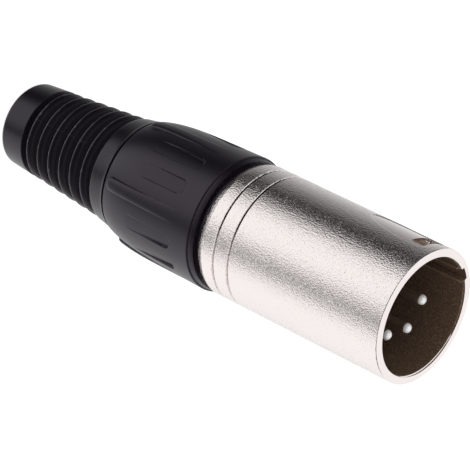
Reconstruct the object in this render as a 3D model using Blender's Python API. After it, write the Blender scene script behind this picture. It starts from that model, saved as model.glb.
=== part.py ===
"""Male cable plug of the XLR pattern with five contacts, standing on the end of its boot.

The plug's axis is Z. The boot's cable end rests on z = 0 and the mating rim is on top. Angles
are seen from the rim, from +X towards +Y, and the latch window faces +Y.
"""

import math

import bmesh
import bpy
from mathutils import Matrix, Vector

MM = 0.001

# Clearance between pieces that seat on, in or against each other
CLEAR = 0.3 * MM

# Driving sizes: the mating sleeve's radius, and the lengths of what shows outside
SHELL_R = 9.5 * MM
SHELL_LENGTH = 31.35 * MM
NUT_LENGTH = 18.5 * MM
BOOT_LENGTH = 22.95 * MM

# Shell: a die-cast sleeve with a threaded neck at its rear
SHELL_DRAFT = 0.08 * MM
SHELL_WALL = 1.25 * MM
CAVITY_DEPTH = 15.5 * MM
LEDGE_HEIGHT = 0.8 * MM
LEDGE_THICKNESS = 0.6 * MM
RIM_FILLET = 0.25 * MM
MOUTH_CHAMFER = 0.25 * MM
NECK_STEP = 1.2 * MM
NECK_WALL = 0.9 * MM
NECK_LENGTH = 8.5 * MM
NECK_RELIEF = 1.2 * MM
NECK_RELIEF_DEPTH = 0.25 * MM
GROOVE_PLACES = (2.9 * MM, 5.5 * MM)
GROOVE_WIDTH = 0.42 * MM
GROOVE_FLOOR_WIDTH = 0.12 * MM
GROOVE_DEPTH = 0.24 * MM
REAR_FILLET = 0.6 * MM

# Keyway, latch panel and latch window of the mating sleeve
KEYWAY_ANGLE = 43.0
KEYWAY_WIDTH = 2.0 * MM
KEYWAY_DEPTH = 0.55 * MM
KEYWAY_LENGTH = 11.0 * MM
KEYWAY_CORNER = 0.15 * MM
PANEL_ANGLE = 90.0
PANEL_HALF_WIDTH = 3.0 * MM
PANEL_LENGTH = 11.2 * MM
PANEL_FROM_RIM = 1.4 * MM
PANEL_DEPTH = 0.15 * MM
PANEL_CORNER_R = 1.3 * MM
PANEL_COLUMNS = 12
WINDOW_WIDTH = 4.4 * MM
WINDOW_LENGTH = 2.1 * MM
WINDOW_FROM_PANEL_END = 0.6 * MM
WINDOW_CORNER_R = 0.4 * MM

# Guide rib inside the rear bore, which keys the insert and the clamp
GUIDE_WIDTH = 1.6 * MM
GUIDE_HEIGHT = 0.7 * MM
GUIDE_CORNER = 0.1 * MM
GUIDE_ANGLE = 270.0

# Contact carrier
INSERT_LENGTH = 13.1 * MM
BOSS_HEIGHT = 1.0 * MM
BOSS_CHAMFER = 0.3 * MM

# Contacts: turned pins with a solder cup behind
CONTACT_COUNT = 5
CONTACT_INSET = 2.1 * MM
CONTACT_SPACING = 60.0
CONTACT_GAP_ANGLE = 70.5
PIN_R = 0.7 * MM
PIN_BELOW_RIM = 3.1 * MM
COLLAR_STEP = 0.4 * MM
COLLAR_LENGTH = 1.8 * MM
COLLAR_FROM_REAR = 0.7 * MM
CUP_STEP = 0.1 * MM
CUP_WALL = 0.35 * MM
CUP_LENGTH = 3.8 * MM
CUP_DEPTH = 3.0 * MM
CUP_CUT_LENGTH = 2.2 * MM
CUP_CUT_CORNER = 0.1 * MM

# Earth spring: a bowed strip in a pocket of the carrier's side
SPRING_ANGLE = 90.0
SPRING_WIDTH = 2.4 * MM
SPRING_THICKNESS = 0.35 * MM
SPRING_LENGTH = 8.6 * MM
SPRING_BENDS = 8
POCKET_DEPTH = 0.95 * MM
POCKET_FROM_REAR = 1.6 * MM

# Cable clamp: a keyed skirt, a flange and four tapered jaws
SKIRT_WALL = 1.1 * MM
FLANGE_STEP = 0.4 * MM
FLANGE_THICKNESS = 1.6 * MM
JAW_STEP = 0.4 * MM
JAW_TAPER = 2.3 * MM
JAW_WALL = 1.6 * MM
JAW_ROOM = 0.45 * MM
JAW_COUNT = 4
JAW_FIRST_SLIT = 45.0
JAW_TOOTH = 0.35 * MM
JAW_TOOTH_COUNT = 3
JAW_TOOTH_TIP = 0.15
JAW_TOOTH_ROOT = 0.8
SLIT_WIDTH = 1.0 * MM

# Back nut: tapered grip with raised ribs, and sunk slots between them
THREAD_ROOM = 0.55 * MM
NUT_PROUD = 0.38 * MM
NUT_TAPER = 0.39 * MM
NUT_SHOULDER = 0.84 * MM
NUT_SHOULDER_POWER = 5.5
NUT_ROWS = 9
NUT_FLOOR = 1.05 * MM
NUT_RING_LENGTH = 1.35 * MM
NUT_RING_STEP = 0.14 * MM
NUT_RING_DROP = 0.42 * MM
NUT_REAR_FILLET = 0.22 * MM
RIB_COUNT = 5
RIB_FIRST_ANGLE = 180.0
RIB_HALF_WIDTH = 1.0 * MM
RIB_HEIGHT = 0.42 * MM
RIB_FROM_REAR = 0.55 * MM
RIB_FROM_FRONT = 4.05 * MM
RIB_ROUND = 0.4 * MM
RIB_SINK = 0.04 * MM
RIB_FADE_POWER = 1.3
RIB_END_WIDTH = 0.45
RIB_END_HEIGHT = 0.35
RIB_STATIONS = (0.0, 0.03, 0.08, 0.2, 0.4, 0.7, 1.0)
SLOT_OFFSETS = (24.0, 48.0)
SLOT_HALF_WIDTH = 1.08 * MM
SLOT_DEPTH = 0.36 * MM
SLOT_FROM_FRONT = 4.7 * MM
SLOT_FROM_REAR = 5.2 * MM
SLOT_RUNOUT = 0.03 * MM
SLOT_END_WIDTH = 0.4
SLOT_STATIONS = (0.0, 0.04, 0.12, 0.4, 0.7, 1.0)

# Spigot behind the nut, with a bead that holds the boot
SEAT_LIP = 1.0 * MM
SPIGOT_WALL = 1.4 * MM
SPIGOT_LENGTH = 4.85 * MM
BEAD_HEIGHT = 0.8 * MM
BEAD_LENGTH = 1.5 * MM
BEAD_FROM_NUT = 1.75 * MM

# Boot: soft ringed sleeve on the nut's spigot
BOOT_GRIP = 0.1 * MM
BOOT_WALL = 2.7 * MM
BOOT_STEP = 0.19 * MM
BOOT_FLARE = 0.42 * MM
BOOT_FLARE_LENGTH = 6.0 * MM
BOOT_FILLET = 0.7 * MM
CUFF_LENGTH = 4.65 * MM
BAND_LENGTH = 2.9 * MM
RING_WIDTH = 1.3 * MM
RING_GAP = 1.06 * MM
RING_GROOVE_DEPTH = 0.95 * MM
RING_REAR_LEAN = 0.1 * MM
RING_FRONT_LEAN = 0.15 * MM
RING_REAR_DROP = 0.16 * MM
RING_FRONT_DROP = 0.42 * MM
RING_CROWN = 0.31 * MM

# Facets round the pieces
SHELL_STEPS = 60
NUT_STEPS = 50
BOOT_STEPS = 36
INNER_STEPS = 32
PIN_STEPS = 14
ARC_POINTS = 4

# Radii, worked out from the sleeve inwards
CAVITY_R = SHELL_R - SHELL_WALL
NECK_R = SHELL_R - NECK_STEP
BORE_R = NECK_R - NECK_WALL
LEDGE_R = BORE_R - LEDGE_HEIGHT
INSERT_R = BORE_R - CLEAR
BOSS_R = LEDGE_R - CLEAR
CONTACT_CIRCLE_R = BOSS_R - CONTACT_INSET
COLLAR_R = PIN_R + COLLAR_STEP
CUP_R = COLLAR_R - CUP_STEP
CUP_BORE_R = CUP_R - CUP_WALL
GUIDE_GROOVE_R = BORE_R - GUIDE_HEIGHT - CLEAR
NUT_R = SHELL_R + NUT_PROUD
NUT_BORE_R = NECK_R + THREAD_ROOM
FLANGE_R = NECK_R - FLANGE_STEP
JAW_FRONT_R = FLANGE_R - JAW_STEP
JAW_REAR_R = JAW_FRONT_R - JAW_TAPER
JAW_BORE_R = JAW_REAR_R - JAW_WALL
SPIGOT_BORE_R = JAW_REAR_R - SEAT_LIP
SPIGOT_R = SPIGOT_BORE_R + SPIGOT_WALL
BEAD_R = SPIGOT_R + BEAD_HEIGHT
BOOT_BORE_R = JAW_BORE_R - BOOT_GRIP
BOOT_END_R = BOOT_BORE_R + BOOT_WALL
BOOT_FRONT_R = NUT_R - NUT_TAPER - NUT_SHOULDER - BOOT_STEP

# Heights along the axis, worked out from the lengths above
NUT_REAR_Z = BOOT_LENGTH + CLEAR
NUT_FRONT_Z = NUT_REAR_Z + NUT_LENGTH
NUT_RING_Z = NUT_FRONT_Z - NUT_RING_LENGTH
SHELL_REAR_Z = NUT_FRONT_Z + CLEAR
RIM_Z = SHELL_REAR_Z + SHELL_LENGTH
CAVITY_FLOOR_Z = RIM_Z - CAVITY_DEPTH
LEDGE_REAR_Z = CAVITY_FLOOR_Z - LEDGE_THICKNESS
NECK_REAR_Z = SHELL_REAR_Z - NECK_LENGTH
INSERT_FRONT_Z = LEDGE_REAR_Z - CLEAR
INSERT_REAR_Z = INSERT_FRONT_Z - INSERT_LENGTH
BOSS_TOP_Z = CAVITY_FLOOR_Z + BOSS_HEIGHT - LEDGE_THICKNESS
SKIRT_FRONT_Z = INSERT_REAR_Z - CLEAR
FLANGE_FRONT_Z = NECK_REAR_Z - CLEAR
FLANGE_REAR_Z = FLANGE_FRONT_Z - FLANGE_THICKNESS
SEAT_FLOOR_Z = NUT_REAR_Z + NUT_FLOOR
JAW_REAR_Z = SEAT_FLOOR_Z + JAW_ROOM
BEAD_FRONT_Z = NUT_REAR_Z - BEAD_FROM_NUT
SPIGOT_REAR_Z = NUT_REAR_Z - SPIGOT_LENGTH


def clear_scene():
    for obj in list(bpy.data.objects):
        bpy.data.objects.remove(obj, do_unlink=True)


def material(name, colour, roughness, metallic=0.0):
    made = bpy.data.materials.new(name)
    made.use_nodes = True
    shader = made.node_tree.nodes["Principled BSDF"]
    shader.inputs["Base Color"].default_value = (*colour, 1.0)
    shader.inputs["Roughness"].default_value = roughness
    shader.inputs["Metallic"].default_value = metallic
    return made


def finish(name, mesh, finish_material=None, crease=32.0):
    """Links a mesh into the scene as a smooth-shaded object with sharp corners kept."""
    mesh.shade_smooth()
    mesh.set_sharp_from_angle(angle=math.radians(crease))
    obj = bpy.data.objects.new(name, mesh)
    bpy.context.scene.collection.objects.link(obj)
    if finish_material is not None:
        mesh.materials.append(finish_material)
    return obj


def mesh_from(bm, name):
    bmesh.ops.recalc_face_normals(bm, faces=bm.faces)
    mesh = bpy.data.meshes.new(name)
    bm.to_mesh(mesh)
    bm.free()
    return mesh


def turned_mesh(name, outline, steps, closed=True):
    """Spins an outline of (radius, height) points about Z. An open outline ends on the axis."""
    bm = bmesh.new()
    points = [bm.verts.new((radius, 0.0, height)) for radius, height in outline]
    edges = [bm.edges.new(pair) for pair in zip(points, points[1:])]
    if closed:
        edges.append(bm.edges.new((points[-1], points[0])))
    bmesh.ops.spin(bm, geom=points + edges, cent=(0, 0, 0), axis=(0, 0, 1),
                   angle=math.radians(360), steps=steps, use_merge=True)
    bmesh.ops.remove_doubles(bm, verts=bm.verts, dist=0.0005 * MM)
    return mesh_from(bm, name)


def prism_mesh(name, outline, low, high):
    """Extrudes a closed outline of (x, y) points from one height to another."""
    bm = bmesh.new()
    base = bm.faces.new([bm.verts.new((x, y, low)) for x, y in outline])
    grown = bmesh.ops.extrude_face_region(bm, geom=[base])
    moved = [item for item in grown["geom"] if isinstance(item, bmesh.types.BMVert)]
    bmesh.ops.translate(bm, verts=moved, vec=(0, 0, high - low))
    return mesh_from(bm, name)


def lofted_bars(name, stations, angles):
    """One bar along Z for each angle, through stations of (height, half width, inner r, outer r,
    corner). The bar's outer corners are cut off by the corner's size, or square where it is 0."""
    bm = bmesh.new()
    for angle in angles:
        turn = Matrix.Rotation(math.radians(angle), 4, "Z")
        rings = []
        for height, half, inner, outer, corner in stations:
            points = [(inner, -half), (outer, -half + corner), (outer, half - corner),
                      (inner, half)]
            if corner > 0:
                points.insert(1, (outer - corner, -half))
                points.insert(4, (outer - corner, half))
            rings.append([bm.verts.new(turn @ Vector((x, y, height))) for x, y in points])
        bm.faces.new(rings[0])
        bm.faces.new(rings[-1])
        for first, second in zip(rings, rings[1:]):
            for i, vertex in enumerate(first):
                after = (i + 1) % len(first)
                bm.faces.new((vertex, first[after], second[after], second[i]))
    return mesh_from(bm, name)


def straight_bar(name, low, high, half, inner, outer, angle, corner=0.0):
    """A bar of one section along Z, between two heights."""
    return lofted_bars(name, [(low, half, inner, outer, corner),
                              (high, half, inner, outer, corner)], [angle])


def cutter(name, mesh):
    obj = finish(name, mesh)
    obj.hide_render = True
    obj.display_type = "WIRE"
    return obj


def combine(obj, other, operation):
    change = obj.modifiers.new(other.name, "BOOLEAN")
    change.operation = operation
    change.solver = "EXACT"
    change.object = other


def arc(centre_r, centre_z, radius, start, end, count=ARC_POINTS):
    """Points of an arc in the (radius, height) plane, angles in degrees from outward to up."""
    points = []
    for i in range(count):
        angle = math.radians(start + (end - start) * i / (count - 1))
        points.append((centre_r + radius * math.cos(angle), centre_z + radius * math.sin(angle)))
    return points


def rounded_box(half_x, half_y, radius, count=ARC_POINTS):
    """Outline of a rectangle with round corners, anticlockwise."""
    points = []
    for sign_x, sign_y, start in ((1, 1, 0), (-1, 1, 90), (-1, -1, 180), (1, -1, 270)):
        points += arc(sign_x * (half_x - radius), sign_y * (half_y - radius), radius,
                      start, start + 90, count)
    return points


def round_end(distance, half_width, blunt):
    """Share of a bar's width at a distance from its end, which is round but starts blunt."""
    left = max(0.0, 1 - distance / half_width)
    return blunt + (1 - blunt) * math.sqrt(1 - left**2)


def at_angle(angle, radius):
    turn = math.radians(angle)
    return Vector((radius * math.cos(turn), radius * math.sin(turn), 0.0))


def shell_radius(height):
    """The cast sleeve widens a little from the rim to its rear edge."""
    return SHELL_R + SHELL_DRAFT * (RIM_Z - height) / SHELL_LENGTH


def shell_outline():
    points = [(CAVITY_R + MOUTH_CHAMFER, RIM_Z)]
    points += arc(SHELL_R - RIM_FILLET, RIM_Z - RIM_FILLET, RIM_FILLET, 90, 0)
    for place in reversed(GROOVE_PLACES):
        middle = SHELL_REAR_Z + place
        for offset, depth in ((GROOVE_WIDTH, 0), (GROOVE_FLOOR_WIDTH, GROOVE_DEPTH),
                              (-GROOVE_FLOOR_WIDTH, GROOVE_DEPTH), (-GROOVE_WIDTH, 0)):
            height = middle + offset / 2
            points.append((shell_radius(height) - depth, height))
    rear_r = shell_radius(SHELL_REAR_Z) - REAR_FILLET
    points += arc(rear_r, SHELL_REAR_Z + REAR_FILLET, REAR_FILLET, 0, -90)
    relief_r = NECK_R - NECK_RELIEF_DEPTH
    relief_z = SHELL_REAR_Z - NECK_RELIEF
    points += [
        (relief_r, SHELL_REAR_Z),
        (relief_r, relief_z),
        (NECK_R, relief_z - NECK_RELIEF_DEPTH),
        (NECK_R, NECK_REAR_Z + NECK_RELIEF_DEPTH),
        (relief_r, NECK_REAR_Z),
        (BORE_R, NECK_REAR_Z),
        (BORE_R, LEDGE_REAR_Z),
        (LEDGE_R, LEDGE_REAR_Z),
        (LEDGE_R, CAVITY_FLOOR_Z),
        (CAVITY_R, CAVITY_FLOOR_Z),
        (CAVITY_R, RIM_Z - MOUTH_CHAMFER),
    ]
    return points


def latch_panel(name, front):
    """Form of the latch panel, which is bent round the sleeve, round at its rear and has round
    corners in front. It is made in columns along Z."""
    bm = bmesh.new()
    columns = []
    for i in range(PANEL_COLUMNS + 1):
        across = PANEL_HALF_WIDTH * math.sin(math.pi * (i / PANEL_COLUMNS - 0.5))
        corner = max(0.0, abs(across) - PANEL_HALF_WIDTH + PANEL_CORNER_R)
        low = front - PANEL_LENGTH + PANEL_HALF_WIDTH
        low -= math.sqrt(max(0.0, PANEL_HALF_WIDTH**2 - across**2))
        high = front - PANEL_CORNER_R + math.sqrt(max(0.0, PANEL_CORNER_R**2 - corner**2))
        turn = Matrix.Rotation(math.radians(PANEL_ANGLE) + across / SHELL_R, 4, "Z")
        inner, outer = SHELL_R - PANEL_DEPTH, SHELL_R + PANEL_DEPTH
        columns.append([bm.verts.new(turn @ Vector((radius, 0.0, height))) for radius, height in
                        ((inner, low), (outer, low), (outer, high), (inner, high))])
    bm.faces.new(columns[0])
    bm.faces.new(columns[-1])
    for first, second in zip(columns, columns[1:]):
        for i, vertex in enumerate(first):
            after = (i + 1) % len(first)
            bm.faces.new((vertex, first[after], second[after], second[i]))
    return mesh_from(bm, name)


def build_shell(metal):
    shell = finish("shell", turned_mesh("shell", shell_outline(), SHELL_STEPS), metal)

    # Guide rib: rooted in the bore's wall, and its front end in the ledge
    root_r = BORE_R + LEDGE_HEIGHT / 2
    rib = straight_bar("guide_rib", NECK_REAR_Z + NECK_RELIEF, LEDGE_REAR_Z + LEDGE_THICKNESS / 2,
                       GUIDE_WIDTH / 2, -root_r, GUIDE_HEIGHT - BORE_R, GUIDE_ANGLE + 180,
                       GUIDE_CORNER)
    combine(shell, cutter("guide_rib_form", rib), "UNION")

    # Keyway down the inside of the wall, open at the rim
    keyway = straight_bar("keyway", RIM_Z - KEYWAY_LENGTH, RIM_Z + RIM_FILLET, KEYWAY_WIDTH / 2,
                          CAVITY_R - KEYWAY_DEPTH, CAVITY_R + KEYWAY_DEPTH, KEYWAY_ANGLE,
                          KEYWAY_CORNER)
    combine(shell, cutter("keyway_form", keyway), "DIFFERENCE")

    # Latch panel, sunk just below the round wall
    front = RIM_Z - PANEL_FROM_RIM
    combine(shell, cutter("panel_form", latch_panel("panel", front)), "DIFFERENCE")

    # Window that the latch of the mating socket drops into
    middle = front - WINDOW_FROM_PANEL_END - WINDOW_LENGTH / 2
    window = [(x + middle, y) for x, y in
              rounded_box(WINDOW_LENGTH / 2, WINDOW_WIDTH / 2, WINDOW_CORNER_R)]
    window_form = prism_mesh("window", window, CAVITY_R / 2, SHELL_R + PANEL_DEPTH)
    window_form.transform(Matrix.Rotation(math.radians(PANEL_ANGLE), 4, "Z") @ Matrix(
        ((0, 0, 1, 0), (0, -1, 0, 0), (1, 0, 0, 0), (0, 0, 0, 1))))
    combine(shell, cutter("window_form", window_form), "DIFFERENCE")
    return shell


def contact_angles():
    """Contacts sit at even steps round a circle, with one step left out at the gap."""
    return [CONTACT_GAP_ANGLE - CONTACT_SPACING * (i + 1) for i in range(CONTACT_COUNT)]


def build_insert(plastic):
    outline = [
        (0, BOSS_TOP_Z),
        (BOSS_R - BOSS_CHAMFER, BOSS_TOP_Z),
        (BOSS_R, BOSS_TOP_Z - BOSS_CHAMFER),
        (BOSS_R, INSERT_FRONT_Z),
        (INSERT_R - BOSS_CHAMFER, INSERT_FRONT_Z),
        (INSERT_R, INSERT_FRONT_Z - BOSS_CHAMFER),
        (INSERT_R, INSERT_REAR_Z + BOSS_CHAMFER),
        (INSERT_R - BOSS_CHAMFER, INSERT_REAR_Z),
        (0, INSERT_REAR_Z),
    ]
    insert = finish("contact_insert",
                    turned_mesh("contact_insert", outline, INNER_STEPS, closed=False), plastic)

    # Groove that runs on the shell's guide rib
    groove = straight_bar("insert_groove", INSERT_REAR_Z - CLEAR, INSERT_FRONT_Z + CLEAR,
                          GUIDE_WIDTH / 2 + CLEAR, GUIDE_GROOVE_R, BORE_R, GUIDE_ANGLE)
    combine(insert, cutter("insert_groove_form", groove), "DIFFERENCE")

    # Pocket for the earth spring
    spring_rear = INSERT_REAR_Z + POCKET_FROM_REAR
    pocket = straight_bar("spring_pocket", spring_rear - CLEAR,
                          spring_rear + SPRING_LENGTH + CLEAR, SPRING_WIDTH / 2 + CLEAR,
                          INSERT_R - POCKET_DEPTH, BORE_R, SPRING_ANGLE)
    combine(insert, cutter("spring_pocket_form", pocket), "DIFFERENCE")

    # Stepped holes that the contacts are pushed into from the rear
    step = INSERT_REAR_Z + COLLAR_FROM_REAR + COLLAR_LENGTH + CLEAR
    bore = [
        (0, BOSS_TOP_Z + CLEAR),
        (PIN_R + CLEAR, BOSS_TOP_Z + CLEAR),
        (PIN_R + CLEAR, step),
        (COLLAR_R + CLEAR, step),
        (COLLAR_R + CLEAR, INSERT_REAR_Z - CLEAR),
        (0, INSERT_REAR_Z - CLEAR),
    ]
    for number, angle in enumerate(contact_angles(), start=1):
        hole = cutter(f"contact_hole_{number}",
                      turned_mesh("contact_hole", bore, PIN_STEPS, closed=False))
        hole.location = at_angle(angle, CONTACT_CIRCLE_R)
        combine(insert, hole, "DIFFERENCE")
    return insert


def build_contacts(silver):
    tip = RIM_Z - PIN_BELOW_RIM
    collar_rear = INSERT_REAR_Z + COLLAR_FROM_REAR
    collar_front = collar_rear + COLLAR_LENGTH
    cup_rear = INSERT_REAR_Z - CUP_LENGTH
    outline = arc(0, tip - PIN_R, PIN_R, 90, 0)
    outline += [
        (PIN_R, collar_front),
        (COLLAR_R, collar_front),
        (COLLAR_R, collar_rear),
        (CUP_R, collar_rear),
        (CUP_R, cup_rear),
        (CUP_BORE_R, cup_rear),
        (CUP_BORE_R, cup_rear + CUP_DEPTH),
        (0, cup_rear + CUP_DEPTH + CUP_BORE_R / 2),
    ]
    pins = []
    for number, angle in enumerate(contact_angles(), start=1):
        name = f"contact_pin_{number}"
        pin = finish(name, turned_mesh(name, outline, PIN_STEPS, closed=False), silver)
        pin.location = at_angle(angle, CONTACT_CIRCLE_R)
        pin.rotation_euler.z = math.radians(angle)

        # The cup's outer side is cut away so that a wire can be laid in
        opening = prism_mesh("cup_opening", rounded_box(CUP_R / 2, CUP_R + CLEAR, CUP_CUT_CORNER),
                             cup_rear - CLEAR, cup_rear + CUP_CUT_LENGTH)
        opening.transform(Matrix.Translation(((CUP_R + CUP_BORE_R) / 2, 0, 0)))
        form = cutter(f"cup_opening_{number}", opening)
        form.location = pin.location
        form.rotation_euler.z = math.radians(angle)
        combine(pin, form, "DIFFERENCE")
        pins.append(pin)
    return pins


def build_earth_spring(bronze):
    """A strip bent in an arc: its feet lie on the pocket's floor and its crown meets the bore."""
    floor = INSERT_R - POCKET_DEPTH + CLEAR
    rise = BORE_R - CLEAR - SPRING_THICKNESS - floor
    start = INSERT_REAR_Z + POCKET_FROM_REAR
    lower = []
    for i in range(SPRING_BENDS + 1):
        share = i / SPRING_BENDS
        lower.append((start + share * SPRING_LENGTH, floor + rise * math.sin(math.pi * share)))
    upper = [(height, radius + SPRING_THICKNESS) for height, radius in reversed(lower)]
    strip = prism_mesh("earth_spring", lower + upper, -SPRING_WIDTH / 2, SPRING_WIDTH / 2)
    strip.transform(Matrix.Rotation(math.radians(SPRING_ANGLE), 4, "Z") @ Matrix(
        ((0, 1, 0, 0), (0, 0, 1, 0), (1, 0, 0, 0), (0, 0, 0, 1))))
    return finish("earth_spring", strip, bronze)


def clamp_outline():
    skirt_inner = INSERT_R - SKIRT_WALL
    root_r = JAW_BORE_R + JAW_TOOTH
    points = [
        (skirt_inner, SKIRT_FRONT_Z),
        (INSERT_R, SKIRT_FRONT_Z),
        (INSERT_R, FLANGE_FRONT_Z),
        (FLANGE_R, FLANGE_FRONT_Z),
        (FLANGE_R, FLANGE_REAR_Z),
        (JAW_FRONT_R, FLANGE_REAR_Z),
        (JAW_REAR_R, JAW_REAR_Z),
    ]
    # Ring teeth inside the jaws bite the cable's jacket
    pitch = (FLANGE_REAR_Z - JAW_REAR_Z) / JAW_TOOTH_COUNT
    for i in range(JAW_TOOTH_COUNT):
        low = JAW_REAR_Z + i * pitch
        points += [
            (JAW_BORE_R, low),
            (JAW_BORE_R, low + JAW_TOOTH_TIP * pitch),
            (root_r, low + pitch / 2),
            (root_r, low + JAW_TOOTH_ROOT * pitch),
        ]
    points += [(root_r, FLANGE_REAR_Z), (skirt_inner, FLANGE_FRONT_Z + FLANGE_THICKNESS)]
    return points


def build_clamp(plastic):
    clamp = finish("cable_clamp", turned_mesh("cable_clamp", clamp_outline(), INNER_STEPS),
                   plastic)
    groove = straight_bar("clamp_groove", FLANGE_FRONT_Z + FLANGE_THICKNESS / 2,
                          SKIRT_FRONT_Z + CLEAR, GUIDE_WIDTH / 2 + CLEAR, GUIDE_GROOVE_R, BORE_R,
                          GUIDE_ANGLE)
    combine(clamp, cutter("clamp_groove_form", groove), "DIFFERENCE")

    # Slits part the rear cone into jaws
    stations = [(JAW_REAR_Z - CLEAR, SLIT_WIDTH / 2, JAW_BORE_R / 2, JAW_FRONT_R + CLEAR, 0),
                (FLANGE_REAR_Z - CLEAR, SLIT_WIDTH / 2, JAW_BORE_R / 2, JAW_FRONT_R + CLEAR, 0)]
    angles = [JAW_FIRST_SLIT + 360.0 / JAW_COUNT * i for i in range(JAW_COUNT)]
    combine(clamp, cutter("slits_form", lofted_bars("slits", stations, angles)), "DIFFERENCE")
    return clamp


def nut_radius(height):
    """Outside of the grip: a slow cone that rounds over into a shoulder at its rear."""
    left = (NUT_RING_Z - height) / (NUT_RING_Z - NUT_REAR_Z)
    return NUT_R - NUT_TAPER * left - NUT_SHOULDER * left**NUT_SHOULDER_POWER


def nut_outline():
    ring_r = NUT_R - NUT_RING_STEP
    points = [
        (NUT_BORE_R, NUT_FRONT_Z),
        (ring_r - NUT_RING_DROP, NUT_FRONT_Z),
        (ring_r - NUT_RING_DROP / 4, NUT_FRONT_Z - NUT_RING_LENGTH / 2),
        (ring_r, NUT_RING_Z + NUT_RING_STEP / 2),
    ]
    # The grip's rows lie closer together where it rounds over
    rear_edge = NUT_REAR_Z + NUT_REAR_FILLET
    for i in range(NUT_ROWS):
        share = math.sin(math.pi / 2 * i / (NUT_ROWS - 1))
        height = NUT_RING_Z + (rear_edge - NUT_RING_Z) * share
        points.append((nut_radius(height), height))
    points += arc(nut_radius(rear_edge) - NUT_REAR_FILLET, rear_edge, NUT_REAR_FILLET, 0, -90)[1:]
    points += [
        (SPIGOT_R, NUT_REAR_Z),
        (SPIGOT_R, BEAD_FRONT_Z),
        (BEAD_R, BEAD_FRONT_Z),
        (BEAD_R, BEAD_FRONT_Z - BEAD_LENGTH / 2),
        (SPIGOT_R, BEAD_FRONT_Z - BEAD_LENGTH),
        (SPIGOT_R, SPIGOT_REAR_Z),
        (SPIGOT_BORE_R, SPIGOT_REAR_Z),
    ]
    # Inside: the seat that the jaws run up, the flange's room and the bore of the thread
    slope = (JAW_FRONT_R - JAW_REAR_R) / (FLANGE_REAR_Z - JAW_REAR_Z)
    seat_r = JAW_REAR_R + CLEAR * math.sqrt(1 + slope**2)
    flange_room = FLANGE_REAR_Z - CLEAR
    points += [
        (SPIGOT_BORE_R, SEAT_FLOOR_Z),
        (seat_r - slope * JAW_ROOM, SEAT_FLOOR_Z),
        (seat_r + slope * (flange_room - JAW_REAR_Z), flange_room),
        (FLANGE_R + CLEAR, flange_room),
        (FLANGE_R + CLEAR, FLANGE_FRONT_Z),
        (NUT_BORE_R, FLANGE_FRONT_Z + CLEAR),
    ]
    return points


def grip_ribs(angles):
    """Raised ribs: round and proud at the rear, dying into the cone towards the front."""
    rear = NUT_REAR_Z + RIB_FROM_REAR
    length = NUT_FRONT_Z - RIB_FROM_FRONT - rear
    stations = []
    for share in RIB_STATIONS:
        height = rear + share * length
        skin = nut_radius(height)
        half = RIB_HALF_WIDTH * round_end(share * length, RIB_HALF_WIDTH, RIB_END_WIDTH)
        swell = min(1.0, RIB_END_HEIGHT + (1 - RIB_END_HEIGHT) * share * length / RIB_HALF_WIDTH)
        proud = RIB_HEIGHT * swell * (1 - share) ** RIB_FADE_POWER
        corner = min(RIB_ROUND, half / 2, proud + RIB_SINK)
        stations.append((height, half, skin - NUT_SHOULDER, skin + proud - RIB_SINK * share,
                         corner))
    return lofted_bars("grip_ribs", stations, angles)


def grip_slots(angles):
    """Sunk slots: deep and round at the front, running out to nothing towards the rear."""
    front = NUT_FRONT_Z - SLOT_FROM_FRONT
    length = front - NUT_REAR_Z - SLOT_FROM_REAR
    stations = []
    for share in SLOT_STATIONS:
        height = front - share * length
        half = SLOT_HALF_WIDTH * round_end(share * length, SLOT_HALF_WIDTH, SLOT_END_WIDTH)
        floor = nut_radius(height) - SLOT_DEPTH * (1 - share) + SLOT_RUNOUT * share
        stations.append((height, half, floor, NUT_R + SLOT_DEPTH, 0))
    return lofted_bars("grip_slots", stations, angles)


def build_back_nut(plastic):
    nut = finish("back_nut", turned_mesh("back_nut", nut_outline(), NUT_STEPS), plastic)
    rib_angles = [RIB_FIRST_ANGLE + 360.0 / RIB_COUNT * i for i in range(RIB_COUNT)]
    slot_angles = [rib + offset for rib in rib_angles for offset in SLOT_OFFSETS]
    combine(nut, cutter("grip_ribs_form", grip_ribs(rib_angles)), "UNION")
    combine(nut, cutter("grip_slots_form", grip_slots(slot_angles)), "DIFFERENCE")
    return nut


def boot_radius(height):
    """Outside of the boot: a straight taper that flares where it meets the nut."""
    taper = (BOOT_FRONT_R - BOOT_FLARE - BOOT_END_R) / BOOT_LENGTH
    flare = max(0.0, 1 - (BOOT_LENGTH - height) / BOOT_FLARE_LENGTH)
    return BOOT_END_R + taper * height + BOOT_FLARE * flare**2


def groove_floor(rear, front):
    """Floor of the groove between two rings, whose faces lean a little."""
    return [(boot_radius(rear) - RING_GROOVE_DEPTH, rear + RING_FRONT_LEAN),
            (boot_radius(front) - RING_GROOVE_DEPTH, front - RING_REAR_LEAN)]


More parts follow.
